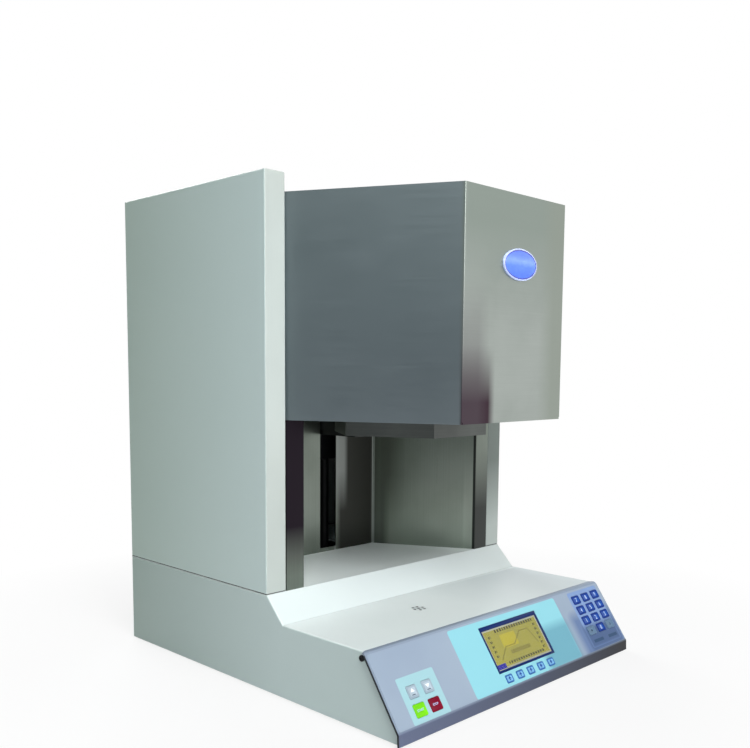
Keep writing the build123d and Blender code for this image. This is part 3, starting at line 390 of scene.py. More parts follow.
def startGroup(name, inputs, outputs):
    # no value or three numbers make a vector socket, four a colour and one a plain value
    group = bpy.data.node_groups.new(name, "ShaderNodeTree")
    for label, value in inputs.items():
        kind = "Vector"
        if value is not None and not isinstance(value, tuple):
            kind = "Float"
        elif value is not None and len(value) == 4:
            kind = "Color"
        socket = group.interface.new_socket(name=label, in_out="INPUT", socket_type="NodeSocket" + kind)
        if value is not None:
            socket.default_value = value
    for label in outputs:
        kind = "Color" if label == "Colour" else "Float"
        group.interface.new_socket(name=label, in_out="OUTPUT", socket_type="NodeSocket" + kind)
    return group, node(group, "NodeGroupInput").outputs, node(group, "NodeGroupOutput")


def makeBrushedGrain():
    group, start, end = startGroup(
        "brushedGrain", {"Vector": None, "Stretch": (6.0, 6.0, 900.0), "Smudge Scale": 7.0},
        ("Grain", "Smudge"))
    stretched = vectorCalc(group, "MULTIPLY", start["Vector"], start["Stretch"])
    lines = noise(group, stretched, 1.0, detail=5.0, roughness=0.65)
    cloud = noise(group, start["Vector"], start["Smudge Scale"], detail=4.0)
    firm = ranged(group, cloud, 0.35, 0.68, kind="SMOOTHSTEP")
    feed(group, end, {"Grain": lines, "Smudge": firm})
    return group


def makeToneDrift():
    group, start, end = startGroup(
        "toneDrift", {"Vector": None, "Base": (0.8, 0.8, 0.8, 1), "Drift": (0.6, 0.6, 0.6, 1),
                      "Scale": 9.0, "Speckle": 0.2},
        ("Colour", "Cloud", "Fine"))
    cloud = noise(group, start["Vector"], start["Scale"], detail=3.0)
    firm = ranged(group, cloud, 0.3, 0.7, kind="SMOOTHSTEP")
    fine = noise(group, start["Vector"], 700.0)
    wide = mixTones(group, firm, start["Base"], start["Drift"])
    near = mixTones(group, calc(group, "MULTIPLY", fine, start["Speckle"]), wide, start["Drift"])
    feed(group, end, {"Colour": near, "Cloud": firm, "Fine": fine})
    return group


def makeEdgeRub():
    # 1 on worn edges, where a rounded normal and the true one part
    group, start, end = startGroup(
        "edgeRub", {"Vector": None, "Radius": 0.0015, "Breakup": 60.0, "Amount": 0.7}, ("Mask",))
    soft = node(group, "ShaderNodeBevel", {"Radius": start["Radius"]}, samples=4)
    hard = node(group, "ShaderNodeNewGeometry")
    agree = node(group, "ShaderNodeVectorMath", {0: soft.outputs[0], 1: hard.outputs["Normal"]},
                 operation="DOT_PRODUCT")
    edges = ranged(group, agree.outputs["Value"], 1.0, 0.86)
    chips = ranged(group, noise(group, start["Vector"], start["Breakup"], detail=4.0), 0.42, 0.62)
    both = calc(group, "MULTIPLY", edges, chips)
    feed(group, end, {"Mask": calc(group, "MULTIPLY", both, start["Amount"], clamp=True)})
    return group


def makeZoneMask():
    # 1 inside a box, with soft ends on each axis
    group, start, end = startGroup(
        "zoneMask", {"Vector": None, "Low": (0, 0, 0), "High": (1, 1, 1), "Soft": (0.01, 0.01, 0.01)},
        ("Mask",))
    sides = []
    for first, second in (("Vector", "Low"), ("High", "Vector")):
        step = start[first]
        for operation, other in (("SUBTRACT", start[second]), ("DIVIDE", start["Soft"]),
                                 ("ADD", (0.5, 0.5, 0.5)), ("MAXIMUM", (0, 0, 0)),
                                 ("MINIMUM", (1, 1, 1))):
            step = vectorCalc(group, operation, step, other)
        sides.append(step)
    both = node(group, "ShaderNodeSeparateXYZ", {0: vectorCalc(group, "MULTIPLY", *sides)}).outputs
    level = calc(group, "MULTIPLY", both["X"], both["Y"])
    feed(group, end, {"Mask": calc(group, "MULTIPLY", level, both["Z"])})
    return group


def makePrintedField():
    # a rounded printed rectangle on the XY plane of the vector
    group, start, end = startGroup(
        "printedField", {"Vector": None, "Centre": (0, 0, 0), "Half Size": (0.01, 0.01, 1),
                         "Corner": 0.002, "Soft": 0.0003},
        ("Mask",))
    fold = node(group, "ShaderNodeVectorMath",
                {0: vectorCalc(group, "SUBTRACT", start["Vector"], start["Centre"])}, operation="ABSOLUTE")
    corner = node(group, "ShaderNodeCombineXYZ", {"X": start["Corner"], "Y": start["Corner"]})
    inner = vectorCalc(group, "SUBTRACT", start["Half Size"], corner.outputs[0])
    over = vectorCalc(group, "SUBTRACT", fold.outputs[0], inner)
    flat = vectorCalc(group, "MULTIPLY", vectorCalc(group, "MAXIMUM", over, (0, 0, 0)), (1, 1, 0))
    gap = calc(group, "SUBTRACT", start["Corner"], vectorLength(group, flat))
    share = calc(group, "DIVIDE", gap, start["Soft"])
    feed(group, end, {"Mask": calc(group, "ADD", share, 0.5, clamp=True)})
    return group


brushedGrain = makeBrushedGrain()
toneDrift = makeToneDrift()
edgeRub = makeEdgeRub()
zoneMask = makeZoneMask()
printedField = makePrintedField()
print("shared effects ready")


# finishes

def startFinish(name, metallic=0.0, shine=0.5):
    finish = bpy.data.materials.new(name)
    finish.use_nodes = True
    tree = finish.node_tree
    shader = tree.nodes["Principled BSDF"]
    feed(tree, shader, {"Metallic": metallic, "Specular IOR Level": shine})
    coords = node(tree, "ShaderNodeTexCoord")
    return finish, tree, shader, coords.outputs["Object"]


def useGroup(tree, group, **values):
    placed = node(tree, "ShaderNodeGroup")
    placed.node_tree = group
    feed(tree, placed, {key.replace("_", " "): value for key, value in values.items()})
    return placed.outputs


def drift(tree, place, colour, other, scale, speckle):
    return useGroup(tree, toneDrift, Vector=place, Base=linear(colour), Drift=linear(other), Scale=scale,
                    Speckle=speckle)


def rubbed(tree, place, colourOut, paler, radius, breakup, amount):
    worn = useGroup(tree, edgeRub, Vector=place, Radius=radius, Breakup=breakup, Amount=amount)
    return mixTones(tree, worn["Mask"], colourOut, paler)


def addTints(tree, place, colourOut, tints):
    # each tint: lowest corner, highest corner, softness of the ends, tone, share
    for low, high, soft, code, share in tints:
        zone = useGroup(tree, zoneMask, Vector=place, Low=low, High=high, Soft=soft)
        colourOut = mixTones(tree, spread(tree, zone["Mask"], 0.0, share), colourOut, linear(code))
    return colourOut


def addBump(tree, shader, height, strength, distance):
    bump = node(tree, "ShaderNodeBump", {"Strength": strength, "Distance": distance, "Height": height})
    feed(tree, shader, {"Normal": bump.outputs["Normal"]})


def paintedFinish(name, colour, other, roughness, peel, rub, tints=()):
    finish, tree, shader, place = startFinish(name)
    tone = drift(tree, place, colour, other, scale=6.0, speckle=0.15)
    colourOut = addTints(tree, place, tone["Colour"], tints)
    colourOut = rubbed(tree, place, colourOut, linear(rub), radius=0.0012, breakup=70.0, amount=0.55)
    feed(tree, shader, {"Base Color": colourOut,
                        "Roughness": spread(tree, tone["Cloud"], roughness - 0.05, roughness + 0.06)})
    addBump(tree, shader, noise(tree, place, scale=420.0), peel, distance=0.0004)
    return finish


def steelFinish(name, colour, smudge, roughness, stretch, metallic=1.0, tints=(), grainDepth=0.25,
                grainTone=0.22):
    finish, tree, shader, place = startFinish(name, metallic=metallic)
    shader.inputs["Anisotropic"].default_value = 0.45
    grain = useGroup(tree, brushedGrain, Vector=place, Stretch=stretch)
    tone = mixTones(tree, grain["Smudge"], linear(colour), linear(smudge))
    shade = spread(tree, grain["Grain"], 1.0 - grainTone, 1.0 + grainTone)
    lines = mixTones(tree, 1.0, tone, shade, blend_type="MULTIPLY")
    rough = calc(tree, "ADD", spread(tree, grain["Grain"], roughness - 0.08, roughness + 0.08),
                 spread(tree, grain["Smudge"], 0.0, 0.03))
    feed(tree, shader, {"Base Color": addTints(tree, place, lines, tints), "Roughness": rough})
    addBump(tree, shader, grain["Grain"], grainDepth, distance=0.0003)
    return finish


def castFinish(name, colour, other, roughness=0.9, pitScale=260.0, depth=0.6):
    finish, tree, shader, place = startFinish(name)
    tone = drift(tree, place, colour, other, scale=22.0, speckle=0.5)
    feed(tree, shader, {"Base Color": tone["Colour"],
                        "Roughness": spread(tree, tone["Fine"], roughness - 0.08, roughness)})
    pits = node(tree, "ShaderNodeTexVoronoi", {"Scale": pitScale, "Vector": place})
    addBump(tree, shader, pits.outputs["Distance"], depth, distance=0.0008)
    return finish


def mouldedFinish(name, colour, other, roughness, texture=900.0, depth=0.18, shine=0.5):
    finish, tree, shader, place = startFinish(name, shine=shine)
    tone = drift(tree, place, colour, other, scale=30.0, speckle=0.3)
    lighter = [min(1.0, level * 1.6 + 0.03) for level in linear(colour)[:3]] + [1.0]
    colourOut = rubbed(tree, place, tone["Colour"], lighter, radius=0.0006, breakup=150.0, amount=0.4)
    feed(tree, shader, {"Base Color": colourOut,
                        "Roughness": spread(tree, tone["Cloud"], roughness - 0.06, roughness + 0.08)})
    addBump(tree, shader, noise(tree, place, texture), depth, distance=0.0002)
    return finish


# zones of the body as lowest and highest corner, wide open where a number is 1 or -1
leftSide = ((-1, -0.6, -1), (-0.2245, 1, 1))
leftSideBack = ((-1, 0.10, -1), (-0.2245, 1, 1))
rightSide = ((0.2245, -0.6, -1), (1, 1, 1))
rightColumnFront = ((0.1940, -0.6, -1), (1, -0.03, 1))
rightColumnTop = ((0.1940, -0.6, 0.20), (1, -0.03, 1))
sideSoft = (0.001, 0.02, 0.02)

# painted shade: the ground tone set darker than the base enamel's, cooler darker sides, the side walls darker
# towards the back, and the right column's front darker with its upper part much darker where the chamber's
# shadow falls
columnEnamel = paintedFinish(
    "columnEnamel", "#B9C1BD", "#B2BAB6", 0.36, peel=0.1, rub="#B0B5B0",
    tints=[(*leftSide, sideSoft, "#BFD0CF", 1.0),
           (*leftSideBack, (0.001, 0.34, 0.02), "#93A69C", 0.9),
           (*rightColumnFront, sideSoft, "#AEB7B3", 1.0),
           (*rightColumnTop, (0.001, 0.02, 0.10), "#6B7570", 1.0),
           (*rightSide, sideSoft, "#BFD0CF", 1.0),
           # painted shade in the dark seam over the base
           ((-1, -1, 0.1180), (1, 1, 0.1199), (0.01, 0.01, 0.0002), "#2E3634", 1.0)])
baseEnamel = paintedFinish(
    "baseEnamel", "#EEF7F6", "#E8F2F1", 0.36, peel=0.1, rub="#B9BDB8",
    # the grille's holes with painted shade inside and their grey rim; painted shade on the ramp, its right
    # end, the deck's right end and both side walls, darker towards the back
    tints=[((-0.0655, -0.144, 0.080), (-0.0465, -0.125, 0.0883), (0.001, 0.001, 0.0002), "#15181A", 1.0),
           ((-0.0605, -0.139, 0.088), (-0.0515, -0.130, 0.0892), (0.013, 0.013, 0.0006), "#59626A", 0.8),
           ((-1, -0.0765, 0.087), (1, -0.043, 0.121), (0.01, 0.002, 0.002), "#DCE6E6", 1.0),
           ((0.12, -0.0765, 0.087), (1, -0.043, 0.121), (0.16, 0.002, 0.002), "#C6CFCE", 1.0),
           ((0.10, -0.22, 0.087), (1, -0.080, 0.0895), (0.20, 0.01, 0.002), "#C8D2D4", 1.0),
           (*leftSide, sideSoft, "#B9C9C8", 1.0),
           (*leftSideBack, (0.001, 0.34, 0.02), "#84978F", 0.9),
           (*rightSide, sideSoft, "#BED0CF", 1.0)])
jacketSteel = steelFinish(
    "jacketSteel", "#A8AFAA", "#99A19B", 0.34, (14.0, 14.0, 1500.0), grainDepth=0.12, grainTone=0.1,
    # painted reflections: the front's top and right, the plum reflection low at its left, the left face with
    # its low and far part
    tints=[((-0.098, -1, 0.50), (1, -0.16, 1), (0.01, 0.01, 0.10), "#8F9A92", 0.9),
           ((0.062, -1, -1), (1, -0.16, 1), (0.03, 0.01, 0.10), "#949C92", 0.8),
           ((-0.120, -1, -1), (-0.0445, -0.16, 0.380), (0.012, 0.01, 0.065), "#38202F", 0.97),
           ((-0.120, -1, -1), (-0.0600, -0.16, 0.430), (0.020, 0.01, 0.110), "#5A5158", 0.55),
           ((-1, -1, -1), (-0.0985, 1, 1), (0.002, 0.03, 0.10), "#A2ADB2", 0.95),
           ((-1, -1, -1), (-0.0985, 1, 0.40), (0.002, 0.03, 0.12), "#8C969B", 0.9),
           ((-1, -1, -1), (-0.160, 1, 1), (0.06, 0.03, 0.12), "#949FA3", 0.6)])
linerSteel = steelFinish(
    "linerSteel", "#7F877F", "#6F776E", 0.30, (900.0, 900.0, 4.0),
    # painted reflections and shade: the front strips, the wall beside the slot with its pale streak, the
    # shaded corner, the right
    # # wall's foot, the bright folds at the corner and the slot, and the right strip's inner part and dark
    # line
    tints=[((-0.2, -0.1, 0.165), (-0.1665, -0.035, 1), (0.002, 0.01, 0.06), "#272128", 1.0),
           ((0.1665, -0.1, -1), (0.2, -0.035, 0.225), (0.002, 0.01, 0.09), "#3A3C3B", 0.95),
           ((0.020, 0.08, -1), (0.0922, 0.2, 1), (0.010, 0.01, 0.01), "#2C2B2B", 0.97),
           ((0.013, 0.08, 0.205), (0.036, 0.2, 0.31), (0.008, 0.01, 0.06), "#A0A5A3", 0.8),
           ((0.0, 0.060, -1), (0.2, 0.0935, 1), (0.001, 0.025, 0.01), "#4A4C46", 0.6),
           ((0.10, -0.034, -1), (0.2, 0.075, 0.175), (0.001, 0.01, 0.10), "#B0B9AD", 0.5),
           ((0.0905, 0.086, -1), (0.0935, 0.2, 1), (0.0006, 0.001, 0.01), "#A9AEAB", 0.8),
           ((0.0130, 0.080, -1), (0.0152, 0.2, 1), (0.0006, 0.001, 0.01), "#A9AEAB", 0.7),
           ((0.1400, -0.0500, -1), (0.1663, -0.030, 0.200), (0.001, 0.002, 0.10), "#A3ABA0", 0.5),
           ((0.1655, -0.0500, -1), (0.1672, -0.030, 1), (0.0004, 0.002, 0.01), "#141616", 0.9)])

# how far the grain is stretched on each axis
turnedGrain = (500.0, 500.0, 500.0)
lidSteel = steelFinish("lidSteel", "#8D918D", "#7E827E", 0.34, (4.0, 500.0, 500.0))
traySteel = steelFinish("traySteel", "#6C706D", "#5B5E5C", 0.38, (6.0, 6.0, 700.0))
darkRods = steelFinish("darkRods", "#1B1C1E", "#151617", 0.5, turnedGrain, metallic=0.6, grainDepth=0.05)
zincSheet = steelFinish("zincSheet", "#9DA1A3", "#85898C", 0.45, (60.0, 60.0, 60.0), grainDepth=0.1)
groundSteel = steelFinish("groundSteel", "#C2C5C8", "#AEB1B5", 0.18, turnedGrain, grainDepth=0.05)
turnedBrass = steelFinish("turnedBrass", "#C9A35C", "#B08A46", 0.28, (30.0, 30.0, 700.0))
blackScrew = steelFinish("blackScrew", "#2B2D2E", "#1D1E1F", 0.35, (300.0, 300.0, 300.0), metallic=0.9)

blackEnamel = paintedFinish("blackEnamel", "#17181A", "#222326", 0.42, peel=0.2, rub="#5A5A58")
blackRubber = mouldedFinish("blackRubber", "#1E1E1E", "#2B2B2A", 0.75, texture=500.0, depth=0.4)
blackPlastic = mouldedFinish("blackPlastic", "#18191A", "#232425", 0.42)
rockerBlack = mouldedFinish("rockerBlack", "#101112", "#1A1B1C", 0.25, texture=300.0, depth=0.05)
navyFrame = mouldedFinish("navyFrame", "#0B2055", "#0F2860", 0.32, shine=0.12)
circuitGreen = mouldedFinish("circuitGreen", "#175C33", "#0F4526", 0.4, texture=250.0, depth=0.3)
refractory = castFinish("refractory", "#E2DACA", "#CFC3AC")
quartzTube = castFinish("quartzTube", "#D9D6CC", "#C6BFAF", 0.4, pitScale=900.0, depth=0.1)
ceramicSleeve = castFinish("ceramicSleeve", "#D5CDBB", "#BFB49C", 0.65, pitScale=700.0, depth=0.2)
fibreSeal = castFinish("fibreSeal", "#E6E2D8", "#D2CABA", 0.95, pitScale=1200.0, depth=0.9)

capTouch = {"texture": 700.0, "depth": 0.08}
keyGrey = mouldedFinish("keyGrey", "#5F7993", "#56708B", 0.42, shine=0.15, **capTouch)
keyBlue = mouldedFinish("keyBlue", "#0E2F7C", "#143786", 0.38, shine=0.12, **capTouch)
keyGreen = mouldedFinish("keyGreen", "#7FDC1C", "#6FCB1A", 0.38, shine=0.12, **capTouch)
keyRed = mouldedFinish("keyRed", "#7E0226", "#6A0220", 0.38, shine=0.12, **capTouch)


# printed film with painted shade, and the panel tray under it with painted shade on its lip

panelFrame = {"edgeY": -0.2125, "edgeZ": 0.0885, "run": 0.0514, "drop": 0.0737}
panelTurn = math.atan2(panelFrame["drop"], panelFrame["run"])
panelOrigin = Vector((0.0, panelFrame["edgeY"], panelFrame["edgeZ"]))
panelAxes = Matrix.Rotation(panelTurn, 3, "X")


def frontOf(nodeName, depth):
    # the middle of a node's outer face on the panel, for a piece as deep as this
    low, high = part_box(nodeName)
    centre = panelAxes.transposed() @ ((low + high) / 2 - panelOrigin)
    centre.z += depth / 2
    return panelOrigin + panelAxes @ centre


def panelCoords(tree, place):
    # across the panel, up its slope and out of its face
    turned = node(tree, "ShaderNodeMapping", {"Vector": place, "Rotation": (-panelTurn, 0, 0),
                                              "Location": -(panelAxes.transposed() @ panelOrigin)})
    return turned.outputs["Vector"]


filmPrintAndShade = {
    "ground": "#98A7B8",
    "groundDrift": "#909FB2",
    # centre, half size, corner, tone and softness: later fields lie over earlier ones
    "fields": [
        ((0.1830, -0.0700), (0.0480, 0.0330), 0.006, "#506A98", 0.020),  # painted shade under the pad
        ((0.010, -0.046), (0.109, 0.0415), 0.003, "#8CCAD6", 0.0006),  # display field
        ((0.085, -0.0640), (0.034, 0.0235), 0.003, "#54899F", 0.020),  # painted shade darkening its right end
        ((-0.1745, -0.0618), (0.0295, 0.0258), 0.002, "#9CC4CC", 0.0006),  # left keys
        ((0.1865, -0.0445), (0.0355, 0.0395), 0.003, "#7D97C3", 0.0008),  # number pad
        ((0.1865, -0.0700), (0.0345, 0.0140), 0.003, "#163058", 0.014),  # its darker foot
        ((0.1708, -0.0760), (0.0115, 0.0021), 0.001, "#2E4868", 0.0008),  # two bars under it
        ((0.2055, -0.0763), (0.0105, 0.0021), 0.001, "#2E4868", 0.0008),
    ],
}


def makePrintedFilm(facts):
    finish, tree, shader, place = startFinish("printedShadedFilm", shine=0.2)
    tone = drift(tree, place, facts["ground"], facts["groundDrift"], scale=8.0, speckle=0.15)
    across = panelCoords(tree, place)
    colourOut = tone["Colour"]
    for centre, half, corner, code, soft in facts["fields"]:
        field = useGroup(tree, printedField, Vector=across, Centre=(*centre, 0.0), Half_Size=(*half, 1.0),
                         Corner=corner, Soft=soft)
        colourOut = mixTones(tree, field["Mask"], colourOut, linear(code))
    feed(tree, shader, {"Base Color": colourOut, "Roughness": spread(tree, tone["Cloud"], 0.36, 0.46)})
    addBump(tree, shader, tone["Fine"], strength=0.08, distance=0.0002)
    return finish


# the tray's face, the painted shade on its lip, darker from left to right below a height, and the painted
# shade on its left edge
trayTones = {"face": "#8F9DAE", "faceDrift": "#8694A6", "rub": "#C9CFDB", "lipShadeLeft": "#5B647E",
             "lipShadeRight": "#12141C", "reach": 0.22, "below": 0.0162, "soft": 0.0035,
             "edge": ((-1, -1, -1), (-0.2292, 1, 1), (0.0005, 0.01, 0.01), "#161D24", 1.0)}


def makePanelPaint(facts):
    finish, tree, shader, place = startFinish("panelTrayPaint", shine=0.25)
    tone = drift(tree, place, facts["face"], facts["faceDrift"], scale=7.0, speckle=0.12)
    face = rubbed(tree, place, tone["Colour"], linear(facts["rub"]), radius=0.0012, breakup=60.0, amount=0.5)
    # painted shade on the lip below a height, darker from left to right
    side = ranged(tree, along(tree, place, "X"), -facts["reach"], facts["reach"])
    lipTone = mixTones(tree, side, linear(facts["lipShadeLeft"]), linear(facts["lipShadeRight"]))
    low = useGroup(tree, zoneMask, Vector=place, Low=(-1, -1, -1), High=(1, 1, facts["below"]),
                   Soft=(0.01, 0.01, facts["soft"]))
    face = mixTones(tree, low["Mask"], face, lipTone)
    # painted shade on the left edge
    feed(tree, shader, {"Base Color": addTints(tree, place, face, [facts["edge"]]),
                        "Roughness": spread(tree, tone["Cloud"], 0.32, 0.44)})
    addBump(tree, shader, tone["Fine"], strength=0.12, distance=0.0003)
    return finish


printedShadedFilm = makePrintedFilm(filmPrintAndShade)
panelTrayPaint = makePanelPaint(trayTones)
print("panel finishes ready")


# oval badge: pale rim, dark ring and a low blue dome, without lettering; the dome's blue in bands by height
# with a painted highlight band

badgeSizes = {"sides": 96, "rim": 0.0016, "ring": 0.0013, "edgeRound": 0.0006, "ringSink": 0.0002,
              "ringSlope": 0.0002, "smooth": 40,
              "dome": ((0.86, 0.00012), (0.8, 0.0001), (0.7, 0.00006))}
badgeHighlightBands = {"low": 0.488, "high": 0.525,
              "tones": ((0.0, "#4870E6"), (0.45, "#5E88F0"), (0.62, "#84A6F6"), (0.78, "#6888EE"),
                        (1.0, "#5A78EA"))}
badgeTouch = {"roughness": 0.22, "texture": 400.0, "depth": 0.03}
badgeRim = mouldedFinish("badgeRim", "#C9D4F6", "#BAC8F2", **badgeTouch)
badgeRing = mouldedFinish("badgeRing", "#3F47A8", "#4750B0", **badgeTouch)


def makeBadgeBlue(facts):
    finish, tree, shader, place = startFinish("badgeBlue")
    # blue bands by height, lighter in the middle as a painted highlight
    height = ranged(tree, along(tree, place, "Z"), facts["low"], facts["high"])
    bands = node(tree, "ShaderNodeValToRGB", {"Fac": height})
    steps = bands.color_ramp.elements
    for position, code in facts["tones"]:
        if position in (0.0, 1.0):  # a ramp starts with these two steps
            step = steps[0 if position == 0.0 else len(steps) - 1]
        else:
            step = steps.new(position)
        step.color = linear(code)
    tone = useGroup(tree, toneDrift, Vector=place, Base=plainWhite, Drift=(0.86, 0.88, 0.95, 1),
                    Scale=120.0, Speckle=0.3)
    both = mixTones(tree, 1.0, bands.outputs["Color"], tone["Colour"], blend_type="MULTIPLY")
    feed(tree, shader, {"Base Color": both, "Roughness": spread(tree, tone["Cloud"], 0.12, 0.22)})
    addBump(tree, shader, tone["Fine"], strength=0.03, distance=0.0002)
    return finish


def makeBadge(sizes):
    low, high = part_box("front_badge")
    width, thickness, height = high - low
    badge = addDrum("frontBadge", 0.5, 1.0, sizes["sides"])
    badge.scale = (width, height, thickness)
    bpy.ops.object.transform_apply(location=False, rotation=False, scale=True)
    wear(badge, badgeRim, badgeRing, makeBadgeBlue(badgeHighlightBands))
    startEdit(badge)
    chooseTop(badge)
    bpy.ops.mesh.bevel(offset=sizes["edgeRound"], segments=3, affect="EDGES")
    chooseTop(badge)
    inX = width / 2 - sizes["edgeRound"]
    inY = height / 2 - sizes["edgeRound"]
    inner = sizes["rim"] + sizes["ring"]
    for inset, rise in ((sizes["rim"], 0.0), (sizes["rim"] + sizes["ringSlope"], -sizes["ringSink"]),
                        (inner, 0.0), (inner + sizes["ringSlope"], sizes["ringSink"])):
        stepInwards((width / 2 - inset) / inX, (height / 2 - inset) / inY, rise)
        inX, inY = width / 2 - inset, height / 2 - inset
    for share, rise in sizes["dome"]:
        stepInwards(share, share, rise)
    for tone, inset in ((1, sizes["rim"]), (2, inner)):
        chooseFaces(badge, lambda centre, normal: normal.z > 0.1 and math.hypot(
            centre.x / (width / 2 - inset), centre.y / (height / 2 - inset)) < 1.0)
        paintChosen(badge, tone)
    endEdit(sizes["smooth"])
    settle(badge, turn=(math.pi / 2, 0, 0), move=(low + high) / 2)
    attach(badge, "base")
    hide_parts("front_badge")


# keys: one cap per kind, copied with its own mesh, with a plain legend on top

plateTouch = {"texture": 700.0, "depth": 0.05}
legendTouch = {"roughness": 0.4, "texture": 700.0, "depth": 0.03}
glyphPale = mouldedFinish("legendPale", "#B9CCF2", "#A9BEEA", shine=0.12, **legendTouch)
glyphWhite = mouldedFinish("legendWhite", "#F4F7FA", "#E8EEF4", shine=0.2, **legendTouch)
glyphDark = mouldedFinish("legendDark", "#2A3C50", "#33465A", shine=0.12, **legendTouch)
glyphSoft = mouldedFinish("legendSoft", "#173F8C", "#1E4996", shine=0.12, **legendTouch)
keyPlate = mouldedFinish("keyPlate", "#1E4A9A", "#2450A2", 0.36, shine=0.15, **plateTouch)
softKeyBlue = mouldedFinish("softKeyBlue", "#2E62A6", "#3A6EB0", 0.38, texture=700.0, depth=0.06, shine=0.15)
softKeyPlate = mouldedFinish("softKeyPlate", "#7FB6DC", "#74AAD4", 0.38, shine=0.15, **plateTouch)
arrowBody = mouldedFinish("arrowBody", "#9FB0BC", "#94A6B4", 0.42, shine=0.2, **capTouch)
arrowPlate = mouldedFinish("arrowPlate", "#B4C2CE", "#A8B8C4", 0.38, shine=0.2, **plateTouch)
keyKinds = {
    "arrow": {"size": (0.015, 0.014, 0.005), "plateInset": 0.0022, "body": arrowBody, "plate": arrowPlate},
    "start": {"size": (0.0175, 0.0145, 0.005), "plateInset": 0.0014, "body": keyGreen, "plate": keyGreen},
    "stop": {"size": (0.0175, 0.0145, 0.005), "plateInset": 0.0014, "body": keyRed, "plate": keyRed},
    "soft": {"size": (0.013, 0.0095, 0.005), "plateInset": 0.0014, "body": softKeyBlue,
             "plate": softKeyPlate},
    "pad": {"size": (0.017, 0.0116, 0.005), "plateInset": 0.0024, "body": keyBlue, "plate": keyPlate},
    "mark": {"size": (0.017, 0.0116, 0.005), "plateInset": 0.0024, "body": keyGrey, "plate": keyGrey},
}
keyShape = {"corner": 0.0016, "rimRound": 0.0005, "dish": 0.00025, "dishSlope": 0.0008,
            "glyphRise": 0.00008, "smooth": 40}


def shapeKeyCap(kind, facts):
    width, height, depth = facts["size"]
    cap = addBlock(kind + "KeyCap", facts["size"], (0, 0, -depth / 2))
    wear(cap, facts["body"], facts["plate"])
    startEdit(cap)
    chooseEdges(cap, lambda centre, run: abs(run.z) > 0.9 * run.length)
    bpy.ops.mesh.bevel(offset=keyShape["corner"], segments=4, affect="EDGES")
    chooseTop(cap)
    bpy.ops.mesh.bevel(offset=keyShape["rimRound"], segments=3, affect="EDGES")
    chooseTop(cap)
    margin = 2 * facts["plateInset"]
    rim = 2 * keyShape["rimRound"]
    slope = keyShape["dishSlope"]
    stepInwards((width - margin) / (width - rim), (height - margin) / (height - rim))
    stepInwards(1 - slope / width, 1 - slope / height, -keyShape["dish"])
    paintChosen(cap, 1)
    endEdit(keyShape["smooth"])
    return cap


wordSizes = {"letter": 0.01, "weight": 0.00018, "curveSteps": 3, "widest": 0.0125,
             "heights": {"pad": 0.0058, "mark": 0.0030, "start": 0.0026, "stop": 0.0026}}


def addWord(name, text, height, finish):
    clearSelection()
    bpy.ops.object.text_add(location=(0, 0, 0))
    word = bpy.context.object
    word.data.body = text
    word.data.size = wordSizes["letter"]
    word.data.offset = wordSizes["weight"]
    word.data.resolution_u = wordSizes["curveSteps"]
    word.data.extrude = keyShape["glyphRise"] / 2
    bpy.ops.object.convert(target="MESH")
    word = bpy.context.object
    word.name = name
    corners = [vertex.co for vertex in word.data.vertices]
    low = Vector([min(c[i] for c in corners) for i in range(3)])
    high = Vector([max(c[i] for c in corners) for i in range(3)])
    share = min(height / (high.y - low.y), wordSizes["widest"] / (high.x - low.x))
    word.data.transform(Matrix.Translation(-(low + high) / 2))
    word.data.transform(Matrix.Diagonal((share, share, 1, 1)))
    wear(word, finish)
    return word


def addArrow(name, width, height, pointsUp, finish):
    clearSelection()
    bpy.ops.mesh.primitive_circle_add(vertices=3, radius=1, fill_type="NGON")
    arrow = bpy.context.object
    arrow.name = name
    # a triangle in a circle of radius 1 is 1.732 wide and 1.5 high
    arrow.scale = (width / 1.732, (height if pointsUp else -height) / 1.5, 1)
    bpy.ops.object.transform_apply(location=True, rotation=False, scale=True)
    startEdit(arrow)
    bpy.ops.mesh.select_all(action="SELECT")
    bpy.ops.mesh.extrude_region_move(TRANSFORM_OT_translate={"value": (0, 0, keyShape["glyphRise"])})
    closeOutwards()
    endEdit()
    wear(arrow, finish)
    return arrow


# an arrow over a bar, or over a stem: width and height, and how far up from the key's middle
signs = {
    "arrow": {"head": (0.0062, 0.0042), "headUp": 0.0012, "headFinish": glyphWhite,
              "foot": (0.0052, 0.0008), "footUp": -0.0034, "footFinish": glyphDark},
    "soft": {"head": (0.0050, 0.0034), "headUp": 0.0008, "headFinish": glyphSoft,
             "foot": (0.0016, 0.0016), "footUp": -0.0014, "footFinish": glyphSoft},
}


def legendFor(kind, text):
    lift = -keyShape["dish"] + keyShape["glyphRise"] / 2
    if kind in signs:
        facts = signs[kind]
        legend = addArrow("legend", *facts["head"], text == "up", facts["headFinish"])
        shiftMesh(legend, 0, facts["headUp"], lift)
        foot = addBlock("legendFoot", (*facts["foot"], keyShape["glyphRise"]), (0, facts["footUp"], lift))
        wear(foot, facts["footFinish"])
        mergeInto(legend, [foot])
        return legend
    finish = glyphDark if kind == "mark" else glyphPale
    legend = addWord("legend", text, wordSizes["heights"][kind], finish)
    shiftMesh(legend, 0, 0, lift)
    return legend


keyLegends = {"key_up": ("arrow", "up"), "key_down": ("arrow", "down"), "key_start": ("start", "START"),
              "key_stop": ("stop", "STOP"), "pad_key_point": ("mark", "."), "pad_key_sign": ("mark", "±")}
for number in range(1, 6):
    keyLegends["soft_key_%d" % number] = ("soft", "up")
for number in range(10):
    keyLegends["pad_key_%d" % number] = ("pad", str(number))


